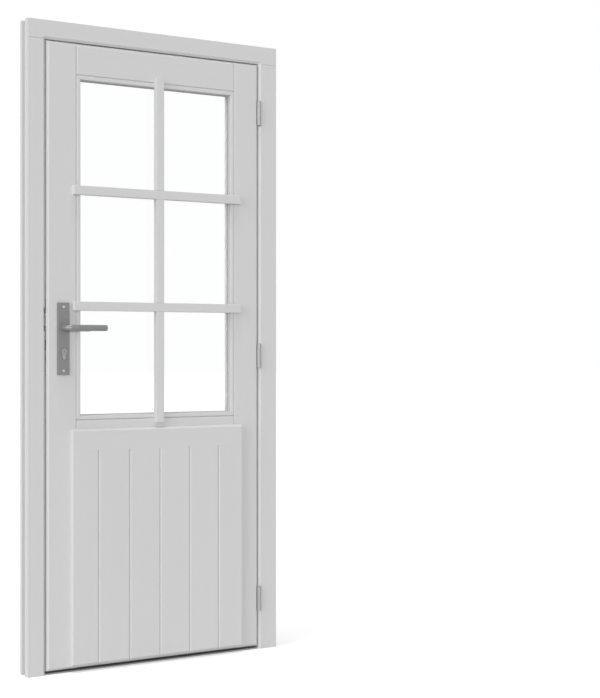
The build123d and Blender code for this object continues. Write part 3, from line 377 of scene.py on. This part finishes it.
def spread(tree, value, amount, middle):
    """A value from 0 to 1, turned into the middle plus or minus half of the amount."""
    lowered = new_node(tree, "ShaderNodeMath", operation="SUBTRACT")
    lowered.inputs[1].default_value = 0.5
    scaled = new_node(tree, "ShaderNodeMath", operation="MULTIPLY_ADD")
    tree.links.new(value, lowered.inputs[0])
    tree.links.new(lowered.outputs[0], scaled.inputs[0])
    for source, target in ((amount, scaled.inputs[1]), (middle, scaled.inputs[2])):
        if isinstance(source, (int, float)):
            target.default_value = source
        else:
            tree.links.new(source, target)
    return scaled.outputs[0]


def tinted(tree, color, factor):
    """A colour made lighter or darker by a factor."""
    scale = new_node(tree, "ShaderNodeVectorMath", operation="SCALE")
    tree.links.new(color, scale.inputs[0])
    tree.links.new(factor, scale.inputs["Scale"])
    return scale.outputs["Vector"]


def brushed_paint_group():
    """Paint on timber: long brush marks, the grain below and a slow change of tone."""
    if "Brushed paint" in bpy.data.node_groups:
        return bpy.data.node_groups["Brushed paint"]
    tree, start, end = group_with_sockets(
        "Brushed paint",
        [("Color", "NodeSocketColor", (0.7, 0.7, 0.7, 1)),
         ("Stretch", "NodeSocketVector", (1, 1, 0.03)),
         ("Shift", "NodeSocketVector", (0, 0, 0)),
         ("Tone spread", "NodeSocketFloat", 0.03),
         ("Roughness", "NodeSocketFloat", 0.5)],
        [("Color", "NodeSocketColor"), ("Roughness", "NodeSocketFloat"),
         ("Height", "NodeSocketFloat")])
    place = stretched_place(tree, start)
    strokes = noise(tree, place, scale=700, detail=3, roughness=0.6)
    grain = noise(tree, place, scale=95, detail=5, roughness=0.65)
    slow = noise(tree, place, scale=12, detail=2)
    stroke_share, grain_share = 0.55, 0.45
    mixed = new_node(tree, "ShaderNodeMath", operation="MULTIPLY_ADD")
    mixed.inputs[1].default_value = stroke_share
    half_grain = new_node(tree, "ShaderNodeMath", operation="MULTIPLY")
    half_grain.inputs[1].default_value = grain_share
    tree.links.new(grain, half_grain.inputs[0])
    tree.links.new(strokes, mixed.inputs[0])
    tree.links.new(half_grain.outputs[0], mixed.inputs[2])
    tone = new_node(tree, "ShaderNodeMath", operation="ADD")
    slow_part = spread(tree, slow, start.outputs["Tone spread"], middle=1.0)
    stroke_part = spread(tree, mixed.outputs[0], start.outputs["Tone spread"], middle=0.0)
    tree.links.new(slow_part, tone.inputs[0])
    tree.links.new(stroke_part, tone.inputs[1])
    tree.links.new(tinted(tree, start.outputs["Color"], tone.outputs[0]), end.inputs["Color"])
    gloss = spread(tree, strokes, amount=0.16, middle=start.outputs["Roughness"])
    tree.links.new(gloss, end.inputs["Roughness"])
    tree.links.new(mixed.outputs[0], end.inputs["Height"])
    return tree


def drawn_metal_group():
    """Metal with fine drawn lines along one way and a faint cloud of duller patches."""
    if "Drawn metal" in bpy.data.node_groups:
        return bpy.data.node_groups["Drawn metal"]
    tree, start, end = group_with_sockets(
        "Drawn metal",
        [("Color", "NodeSocketColor", (0.5, 0.5, 0.5, 1)),
         ("Stretch", "NodeSocketVector", (1, 1, 0.02)),
         ("Shift", "NodeSocketVector", (0, 0, 0)),
         ("Tone spread", "NodeSocketFloat", 0.05),
         ("Roughness", "NodeSocketFloat", 0.35)],
        [("Color", "NodeSocketColor"), ("Roughness", "NodeSocketFloat"),
         ("Height", "NodeSocketFloat")])
    place = stretched_place(tree, start)
    lines = noise(tree, place, scale=2600, detail=2, roughness=0.7)
    plain_place = new_node(tree, "ShaderNodeTexCoord").outputs["Object"]
    cloud = noise(tree, plain_place, scale=60, detail=4, roughness=0.6)
    tone = new_node(tree, "ShaderNodeMath", operation="ADD")
    line_part = spread(tree, lines, start.outputs["Tone spread"], middle=1.0)
    cloud_part = spread(tree, cloud, start.outputs["Tone spread"], middle=0.0)
    tree.links.new(line_part, tone.inputs[0])
    tree.links.new(cloud_part, tone.inputs[1])
    tree.links.new(tinted(tree, start.outputs["Color"], tone.outputs[0]), end.inputs["Color"])
    rough = spread(tree, lines, amount=0.12, middle=start.outputs["Roughness"])
    dull = spread(tree, cloud, amount=0.14, middle=rough)
    tree.links.new(dull, end.inputs["Roughness"])
    tree.links.new(lines, end.inputs["Height"])
    return tree


def surface_material(name, group, color, stretch, shift, spread_value, roughness, metallic,
                     distance, specular=0.5):
    """A material whose colour, gloss and relief come from a surface group."""
    material, tree, shader = new_material(name)
    shader.inputs["Metallic"].default_value = metallic
    shader.inputs["Specular IOR Level"].default_value = specular
    surface = new_node(tree, "ShaderNodeGroup", node_tree=group)
    surface.inputs["Color"].default_value = (*color, 1)
    surface.inputs["Stretch"].default_value = stretch
    surface.inputs["Shift"].default_value = shift
    surface.inputs["Tone spread"].default_value = spread_value
    surface.inputs["Roughness"].default_value = roughness
    bump = new_node(tree, "ShaderNodeBump")
    bump.inputs["Strength"].default_value = 1
    bump.inputs["Distance"].default_value = distance
    tree.links.new(surface.outputs["Color"], shader.inputs["Base Color"])
    tree.links.new(surface.outputs["Roughness"], shader.inputs["Roughness"])
    tree.links.new(surface.outputs["Height"], bump.inputs["Height"])
    tree.links.new(bump.outputs["Normal"], shader.inputs["Normal"])
    return material


def metal_finish(name, color, shift, distance=METAL_RELIEF, **look):
    """Drawn metal with one of the looks named above."""
    return surface_material(name, drawn_metal_group(), color, shift=shift, distance=distance,
                            **look)


def give(piece, material):
    """Put one material on a whole piece."""
    piece.data.materials.clear()
    piece.data.materials.append(material)


def body_name(node):
    """The CAD body that a node belongs to."""
    for body, members in frame["record"]["behaviour"]["bodies"].items():
        if node in members:
            return body
    raise KeyError(node)


def new_piece(name, mesh, node):
    """A finished piece that stands for a CAD node and rides on its body."""
    piece = new_object(name, mesh)
    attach(piece, body_name(node))
    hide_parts(node)
    return piece


def rounded_edges(piece, name, width, steps, angle):
    """Rounding on the edges of a piece that are sharper than an angle."""
    rounding = piece.modifiers.new(name, "BEVEL")
    rounding.width = width
    rounding.segments = steps
    rounding.limit_method = "ANGLE"
    rounding.angle_limit = angle
    return rounding


def softened_copy(node, name, arris):
    """A copy of a CAD piece with its flat faces made whole and its edges rounded a little."""
    work = bmesh.new()
    work.from_mesh(frame["nodes"][node].data)
    bmesh.ops.remove_doubles(work, verts=work.verts, dist=SAME_PLACE)
    bmesh.ops.dissolve_limit(work, angle_limit=FLAT_ANGLE, verts=work.verts, edges=work.edges)
    mesh = new_mesh(work, name)
    for face in mesh.polygons:
        face.use_smooth = False
    piece = new_piece(name, mesh, node)
    rounded_edges(piece, "Arris", arris, ARRIS_STEPS, ARRIS_ANGLE)
    return piece


def timber_finish(node, stretch, index):
    """Paint for one timber piece, with its brush marks along it."""
    paint = bpy.context.scene.door_paint
    shift = tuple(index * step + start for step, start in zip(MARKS_STEP, MARKS_START))
    return surface_material(
        f"paint on {node.replace('_', ' ')}", brushed_paint_group(), paint.color, stretch, shift,
        paint.tone_spread, paint.roughness, metallic=0, distance=paint.brush_depth,
        specular=DULL_SPECULAR)


def finish_timber(nodes, first, arris):
    """Soften and paint a set of timber pieces, whose marks are numbered from the first."""
    for index, (node, stretch) in enumerate(nodes.items(), first):
        piece = softened_copy(node, f"{node}_painted", arris)
        give(piece, timber_finish(node, stretch, index))


class DOOR_OT_frame_timber(Operator):
    """Paint the two posts and the head"""

    bl_idname = "door.frame_timber"
    bl_label = "Frame"

    def execute(self, context):
        paint = context.scene.door_paint
        finish_timber(FRAME_TIMBER, FRAME_FIRST, arris=paint.arris)
        return {"FINISHED"}


class DOOR_OT_leaf_timber(Operator):
    """Paint the stiles, the rails and the panel behind the boards"""

    bl_idname = "door.leaf_timber"
    bl_label = "Leaf"

    def execute(self, context):
        paint = context.scene.door_paint
        finish_timber(LEAF_TIMBER, LEAF_FIRST, arris=paint.leaf_arris)
        return {"FINISHED"}


class DOOR_OT_boarded_panel(Operator):
    """Paint the boards and their capping rail"""

    bl_idname = "door.boarded_panel"
    bl_label = "Boarded panel"

    def execute(self, context):
        paint = context.scene.door_paint
        finish_timber(PANEL_TIMBER, PANEL_FIRST, arris=paint.board_arris)
        return {"FINISHED"}


class DOOR_OT_glazing_timber(Operator):
    """Paint the beads round the glass and the bars in front of it"""

    bl_idname = "door.glazing_timber"
    bl_label = "Beads and bars"

    def execute(self, context):
        paint = context.scene.door_paint
        finish_timber(GLAZING_TIMBER, GLAZING_FIRST, arris=paint.bead_arris)
        return {"FINISHED"}


class DOOR_OT_glass(Operator):
    """Make the pane clear"""

    bl_idname = "door.glass"
    bl_label = "Glass"

    def execute(self, context):
        pane = frame["nodes"]["glass_pane"]
        material, tree, shader = new_material("clear glass")
        shader.inputs["Base Color"].default_value = GLASS_COLOR
        shader.inputs["Metallic"].default_value = 0
        shader.inputs["Transmission Weight"].default_value = 1
        shader.inputs["IOR"].default_value = GLASS_IOR
        place = new_node(tree, "ShaderNodeTexCoord").outputs["Object"]
        film = noise(tree, place, scale=14, detail=3)
        haze = spread(tree, film, amount=0.01, middle=0.006)
        tree.links.new(haze, shader.inputs["Roughness"])
        give(pane, material)
        pane.visible_shadow = False
        return {"FINISHED"}


def joined_rings(work, rings, closed=False):
    """Skin between rings of points; open runs get a face on each end."""
    loops = [[work.verts.new(point) for point in ring] for ring in rings]
    pairs = list(zip(loops, loops[1:]))
    if closed:
        pairs.append((loops[-1], loops[0]))
    for first, second in pairs:
        for index in range(len(first)):
            after = (index + 1) % len(first)
            work.faces.new((first[index], first[after], second[after], second[index]))
    if not closed:
        work.faces.new(reversed(loops[0]))
        work.faces.new(loops[-1])
    bmesh.ops.recalc_face_normals(work, faces=work.faces)


def mesh_from(work, name, smooth_angle):
    """A mesh from the work, smooth across edges flatter than the angle."""
    for edge in work.edges:
        edge.smooth = len(edge.link_faces) == 2 and edge.calc_face_angle() < smooth_angle
    for face in work.faces:
        face.smooth = True
    return new_mesh(work, name)


def full_turn(steps):
    """Angles once round a circle in even steps."""
    return [2 * math.pi * step / steps for step in range(steps)]


def quarter_turn(steps):
    """Angles from nothing to a right angle in even steps, with both ends."""
    return [math.radians(90 * step / steps) for step in range(steps + 1)]


def ring_round(centre, toward, radius, steps):
    """Points of a circle round a centre, square to a direction that has no height."""
    toward = toward.normalized()
    side = Vector((0, 0, 1)).cross(toward)
    return [centre + radius * (math.cos(turn) * side + math.sin(turn) * Vector((0, 0, 1)))
            for turn in full_turn(steps)]


def lever_rings(node, fittings):
    """Rings of a lever from its boss in the plate, round the bend and out to the tip."""
    low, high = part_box(node)
    outer = abs(low.y) > abs(high.y)
    outward = -1 if outer else 1
    tip_y = low.y if outer else high.y
    root_y = high.y if outer else low.y
    centre_z = (low.z + high.z) / 2
    radius = (high.z - low.z) / 2
    axis_x = low.x + radius
    bar_y = tip_y - outward * radius
    bend = fittings.lever_bend
    steps = fittings.round_steps
    straight = [*BOSS_RINGS, *((out, radius - less) for out, less in NECK_RINGS)]
    forward = Vector((0, outward, 0))
    rings = [ring_round(Vector((axis_x, root_y + outward * out, centre_z)), forward, size, steps)
             for out, size in straight]
    corner = Vector((axis_x + bend, bar_y - outward * bend, centre_z))
    for turn in quarter_turn(BEND_STEPS):
        centre = corner + bend * Vector((-math.cos(turn), outward * math.sin(turn), 0))
        toward = Vector((math.sin(turn), outward * math.cos(turn), 0))
        rings.append(ring_round(centre, toward, radius, steps))
    for turn in quarter_turn(TIP_STEPS):
        place = high.x - TIP_ROUND + TIP_ROUND * math.sin(turn)
        size = radius - TIP_ROUND + TIP_ROUND * math.cos(turn)
        rings.append(ring_round(Vector((place, bar_y, centre_z)), Vector((1, 0, 0)), size, steps))
    return rings


def cut_with(piece, rings):
    """Cut a shape given by rings out of a piece for good."""
    work = bmesh.new()
    joined_rings(work, rings)
    cutter = new_object("cutter", mesh_from(work, "cutter", 0))
    cut = piece.modifiers.new("Cut", "BOOLEAN")
    cut.operation = "DIFFERENCE"
    cut.solver = "EXACT"
    cut.object = cutter
    bpy.context.view_layer.update()
    ready = piece.evaluated_get(bpy.context.evaluated_depsgraph_get())
    mesh = bpy.data.meshes.new_from_object(ready)
    piece.modifiers.remove(cut)
    piece.data = mesh
    bpy.data.objects.remove(cutter)


class DOOR_OT_levers(Operator):
    """Make the levers with a smooth bend, a ferrule line and a set screw hole"""

    bl_idname = "door.levers"
    bl_label = "Levers"

    def execute(self, context):
        fittings = context.scene.door_fittings
        screw_low, screw_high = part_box("lever_set_screws")
        for index, node in enumerate(("lever_outer", "lever_inner"), LEVER_FIRST):
            work = bmesh.new()
            joined_rings(work, lever_rings(node, fittings))
            name = node.replace("lever", "lever_bar")
            piece = new_piece(name, mesh_from(work, name, LEVER_SMOOTH), node)
            self.set_screw_hole(piece, node, screw_low, screw_high)
            material = metal_finish(
                f"satin metal of {node.replace('_', ' ')}", fittings.handle_color,
                shift=(index, 0, 0), **LEVER_METAL)
            give(piece, material)
        return {"FINISHED"}

    def set_screw_hole(self, piece, node, screw_low, screw_high):
        """Hole under the neck for the set screw."""
        middle_x = (screw_low.x + screw_high.x) / 2
        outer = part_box(node)[0].y < screw_low.y
        middle_y = screw_low.y + SET_SCREW_RADIUS if outer else screw_high.y - SET_SCREW_RADIUS
        rings = []
        for height in (screw_low.z - SCREW_HOLE_RUN_OUT, screw_high.z):
            rings.append([Vector((middle_x + SCREW_HOLE_RADIUS * math.cos(turn),
                                  middle_y + SCREW_HOLE_RADIUS * math.sin(turn), height))
                          for turn in full_turn(SCREW_HOLE_STEPS)])
        cut_with(piece, rings)


class DOOR_OT_plates(Operator):
    """Finish the long plates behind the levers"""

    bl_idname = "door.plates"
    bl_label = "Handle plates"

    def execute(self, context):
        fittings = context.scene.door_fittings
        for index, node in enumerate(("backplate_outer", "backplate_inner"), PLATE_FIRST):
            material = metal_finish(
                f"satin metal of {node.replace('_', ' ')}", fittings.handle_color,
                shift=(index, 0, 0), **PLATE_METAL)
            give(frame["nodes"][node], material)
        return {"FINISHED"}


class DOOR_OT_hinges(Operator):
    """Finish the hinges and their pins"""

    bl_idname = "door.hinges"
    bl_label = "Hinges"

    def execute(self, context):
        fittings = context.scene.door_fittings
        for index, node in enumerate(HINGE_NODES, HINGE_FIRST):
            material = metal_finish(
                f"plated steel of {node.replace('_', ' ')}", fittings.hinge_color,
                shift=(index, 0, 0), **HINGE_METAL)
            piece = frame["nodes"][node]
            give(piece, material)
            rounding = rounded_edges(piece, "Edges", HINGE_EDGE, HINGE_EDGE_STEPS,
                                     HINGE_EDGE_ANGLE)
            rounding.harden_normals = True
        return {"FINISHED"}


class DOOR_OT_lock(Operator):
    """Finish the lock, its forend and the keep"""

    bl_idname = "door.lock"
    bl_label = "Lock and keep"

    def execute(self, context):
        fittings = context.scene.door_fittings
        # The latch and the dead bolt take the dark grey that also paints the shade in the forend's
        # openings
        looks = {"lock_forend": (fittings.forend_color, FOREND_METALLIC),
                 "latch_bolt": (fittings.bolt_and_shade_color, BOLT_METALLIC),
                 "dead_bolt": (fittings.bolt_and_shade_color, BOLT_METALLIC)}
        for index, node in enumerate(LOCK_NODES, LOCK_FIRST):
            color, metallic = looks.get(node, (fittings.steel_color, BOLT_METALLIC))
            material = metal_finish(
                f"plated steel of {node.replace('_', ' ')}", color, shift=(index, 0, 0),
                metallic=metallic, **LOCK_METAL)
            give(frame["nodes"][node], material)
        return {"FINISHED"}


class DOOR_OT_screws(Operator):
    """Finish the screws"""

    bl_idname = "door.screws"
    bl_label = "Screws"

    def execute(self, context):
        fittings = context.scene.door_fittings
        material = metal_finish("zinc plated screws", fittings.steel_color, shift=(3, 1, 2),
                                **SCREW_METAL)
        for node in SCREW_NODES:
            give(frame["nodes"][node], material)
        return {"FINISHED"}


class DOOR_OT_cylinder(Operator):
    """Finish the key cylinder"""

    bl_idname = "door.cylinder"
    bl_label = "Key cylinder"

    def execute(self, context):
        fittings = context.scene.door_fittings
        material = metal_finish("nickel of the key cylinder", fittings.cylinder_color,
                                shift=(5, 2, 1), **CYLINDER_METAL)
        for node in CYLINDER_NODES:
            give(frame["nodes"][node], material)
        return {"FINISHED"}


class DOOR_OT_threshold(Operator):
    """Finish the threshold"""

    bl_idname = "door.threshold"
    bl_label = "Threshold"

    def execute(self, context):
        fittings = context.scene.door_fittings
        material = metal_finish("grey anodised threshold", fittings.threshold_color,
                                shift=(7, 1, 4), **THRESHOLD_METAL)
        give(frame["nodes"]["threshold"], material)
        return {"FINISHED"}


def mitred_loop(outline, low, high, place_y, way):
    """Rings at the four corners of an upright rectangle, for an outline drawn inward and out."""
    corners = ((low.x, low.z, 1, 1), (high.x, low.z, -1, 1),
               (high.x, high.z, -1, -1), (low.x, high.z, 1, -1))
    return [[Vector((x + x_way * inward, place_y + way * out, z + z_way * inward))
             for inward, out in outline]
            for x, z, x_way, z_way in corners]


class DOOR_OT_sealant(Operator):
    """Run a grey line of sealant round the glass, outside and inside"""

    bl_idname = "door.sealant"
    bl_label = "Glass sealant"

    def execute(self, context):
        fittings = context.scene.door_fittings
        low = Vector((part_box("bead_left")[1].x, 0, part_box("bead_bottom")[1].z))
        high = Vector((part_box("bead_right")[0].x, 0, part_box("bead_top")[0].z))
        pane_low, pane_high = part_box("glass_pane")
        material = surface_material(
            "grey sealant", brushed_paint_group(), fittings.sealant_color, EVEN,
            shift=(4, 6, 2), spread_value=0.1, roughness=0.6, metallic=0, distance=0.00004,
            specular=DULL_SPECULAR)
        for side, face, way in (("outer", pane_low.y, -1), ("inner", pane_high.y, 1)):
            name = f"glass_sealant_{side}"
            work = bmesh.new()
            joined_rings(work, mitred_loop(SEALANT_OUTLINE, low, high, face, way), closed=True)
            line = new_object(name, mesh_from(work, name, SEAL_SMOOTH))
            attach(line, body_name("glass_pane"))
            give(line, material)
        return {"FINISHED"}


class DOOR_OT_seal(Operator):
    """Make the bulb seal on the stop, mitred at its corners"""

    bl_idname = "door.seal"
    bl_label = "Seal"

    def execute(self, context):
        fittings = context.scene.door_fittings
        low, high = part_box("frame_seal")
        work = bmesh.new()
        joined_rings(work, mitred_loop(SEAL_OUTLINE, low, high, high.y, -1), closed=True)
        piece = new_piece("bulb_seal", mesh_from(work, "bulb_seal", SEAL_SMOOTH),
                          "frame_seal")
        material = surface_material(
            "black rubber seal", brushed_paint_group(), fittings.seal_color, EVEN,
            shift=(9, 3, 2), spread_value=0.3, roughness=0.7, metallic=0, distance=0.00005,
            specular=DULL_SPECULAR)
        give(piece, material)
        return {"FINISHED"}


def seen_directly(tree):
    """One where the camera, a reflection or the glass sees a surface, before light scatters."""
    path = new_node(tree, "ShaderNodeLightPath")
    either = new_node(tree, "ShaderNodeMath", operation="MAXIMUM")
    seen = new_node(tree, "ShaderNodeMath", operation="MAXIMUM")
    tree.links.new(path.outputs["Is Camera Ray"], either.inputs[0])
    tree.links.new(path.outputs["Is Glossy Ray"], either.inputs[1])
    tree.links.new(either.outputs[0], seen.inputs[0])
    tree.links.new(path.outputs["Is Transmission Ray"], seen.inputs[1])
    scattered = new_node(tree, "ShaderNodeMath", operation="LESS_THAN")
    scattered.inputs[1].default_value = 0.5
    tree.links.new(path.outputs["Diffuse Depth"], scattered.inputs[0])
    straight = new_node(tree, "ShaderNodeMath", operation="MULTIPLY")
    tree.links.new(seen.outputs[0], straight.inputs[0])
    tree.links.new(scattered.outputs[0], straight.inputs[1])
    return straight.outputs[0]


class DOOR_OT_stage(Operator):
    """Set the floor, the light and the camera"""

    bl_idname = "door.stage"
    bl_label = "Studio"

    def execute(self, context):
        stage = context.scene.door_stage
        self.floor(stage)
        self.light(stage)
        self.camera(stage)
        context.scene.view_settings.view_transform = "Standard"
        return {"FINISHED"}

    def floor(self, stage):
        """A wide pale floor that keeps the door's soft shadow."""
        work = bmesh.new()
        bmesh.ops.create_circle(work, cap_ends=True, segments=FLOOR_STEPS, radius=FLOOR_RADIUS)
        floor = new_object("floor", new_mesh(work, "floor"))
        floor.location = (0, 0, CAD_LOW.z - FLOOR_DROP)
        material, tree, shader = new_material("pale floor")
        shader.inputs["Base Color"].default_value = (*stage.floor_color, 1)
        shader.inputs["Roughness"].default_value = FLOOR_ROUGHNESS
        shader.inputs["Specular IOR Level"].default_value = 0
        lift = new_node(tree, "ShaderNodeMath", operation="MULTIPLY")
        lift.inputs[1].default_value = stage.floor_lift
        tree.links.new(seen_directly(tree), lift.inputs[0])
        tree.links.new(lift.outputs[0], shader.inputs["Emission Strength"])
        shader.inputs["Emission Color"].default_value = (1, 1, 1, 1)
        give(floor, material)

    def lamp(self, name, strength, spread_angle, toward):
        """A far lamp that shines one way and isn't seen through the glass."""
        lamp = bpy.data.lights.new(name, "SUN")
        lamp.energy = strength
        lamp.angle = math.radians(spread_angle)
        piece = new_object(name, lamp)
        piece.rotation_euler = Vector(toward).to_track_quat("-Z", "Y").to_euler()
        piece.visible_transmission = False
        return piece

    def light(self, stage):
        """Soft lights from the left, the front, above and behind, and an even pale sky.

        Reflections leave out the lamp behind, which would glare in the glass.
        """
        for name, spread_angle, toward in LAMPS:
            lamp = self.lamp(name, getattr(stage, f"{name}_strength"), spread_angle, toward)
            lamp.visible_glossy = name != "back"
        world = bpy.data.worlds.new("pale sky")
        bpy.context.scene.world = world
        world.use_nodes = True
        tree = world.node_tree
        background = tree.nodes["Background"]
        background.inputs["Color"].default_value = (1, 1, 1, 1)
        blend = new_node(tree, "ShaderNodeMapRange")
        blend.inputs["To Min"].default_value = stage.world_strength
        blend.inputs["To Max"].default_value = 1
        tree.links.new(seen_directly(tree), blend.inputs["Value"])
        tree.links.new(blend.outputs["Result"], background.inputs["Strength"])

    def camera(self, stage):
        """The camera at the photograph's viewing angle, level with the lock."""
        data = bpy.data.cameras.new("camera")
        data.sensor_width = SENSOR_WIDTH
        data.lens = stage.lens
        camera = new_object("camera", data)
        camera.location = stage.camera_place
        camera.rotation_euler = (math.radians(90), 0, -stage.camera_turn)
        bpy.context.scene.camera = camera


OPERATORS = (
    DOOR_OT_frame_timber,
    DOOR_OT_leaf_timber,
    DOOR_OT_boarded_panel,
    DOOR_OT_glazing_timber,
    DOOR_OT_glass,
    DOOR_OT_levers,
    DOOR_OT_plates,
    DOOR_OT_hinges,
    DOOR_OT_lock,
    DOOR_OT_screws,
    DOOR_OT_cylinder,
    DOOR_OT_threshold,
    DOOR_OT_seal,
    DOOR_OT_sealant,
    DOOR_OT_stage,
)


class DOOR_PT_sidebar(Panel):
    """Steps and settings of the door."""

    bl_label = "Glazed door"
    bl_idname = "DOOR_PT_sidebar"
    bl_space_type = "VIEW_3D"
    bl_region_type = "UI"
    bl_category = "Door"

    def draw(self, context):
        column = self.layout.column(align=True)
        for step in OPERATORS:
            column.operator(step.bl_idname)
        for settings in (context.scene.door_paint, context.scene.door_fittings,
                         context.scene.door_stage):
            column.separator()
            for name in settings.__annotations__:
                column.prop(settings, name)


CLASSES = (PaintSettings, FittingSettings, StageSettings, *OPERATORS, DOOR_PT_sidebar)


def register():
    """Register the classes and hang the settings on the scene."""
    for item in CLASSES:
        bpy.utils.register_class(item)
    bpy.types.Scene.door_paint = PointerProperty(type=PaintSettings)
    bpy.types.Scene.door_fittings = PointerProperty(type=FittingSettings)
    bpy.types.Scene.door_stage = PointerProperty(type=StageSettings)


def unregister():
    """Take the settings and the classes away again."""
    del bpy.types.Scene.door_stage
    del bpy.types.Scene.door_fittings
    del bpy.types.Scene.door_paint
    for item in reversed(CLASSES):
        bpy.utils.unregister_class(item)


def main():
    """Run every step in order."""
    register()
    bpy.ops.door.frame_timber()
    bpy.ops.door.leaf_timber()
    bpy.ops.door.boarded_panel()
    bpy.ops.door.glazing_timber()
    bpy.ops.door.glass()
    bpy.ops.door.levers()
    bpy.ops.door.plates()
    bpy.ops.door.hinges()
    bpy.ops.door.lock()
    bpy.ops.door.screws()
    bpy.ops.door.cylinder()
    bpy.ops.door.threshold()
    bpy.ops.door.seal()
    bpy.ops.door.sealant()
    bpy.ops.door.stage()


if __name__ == "__main__":
    main()
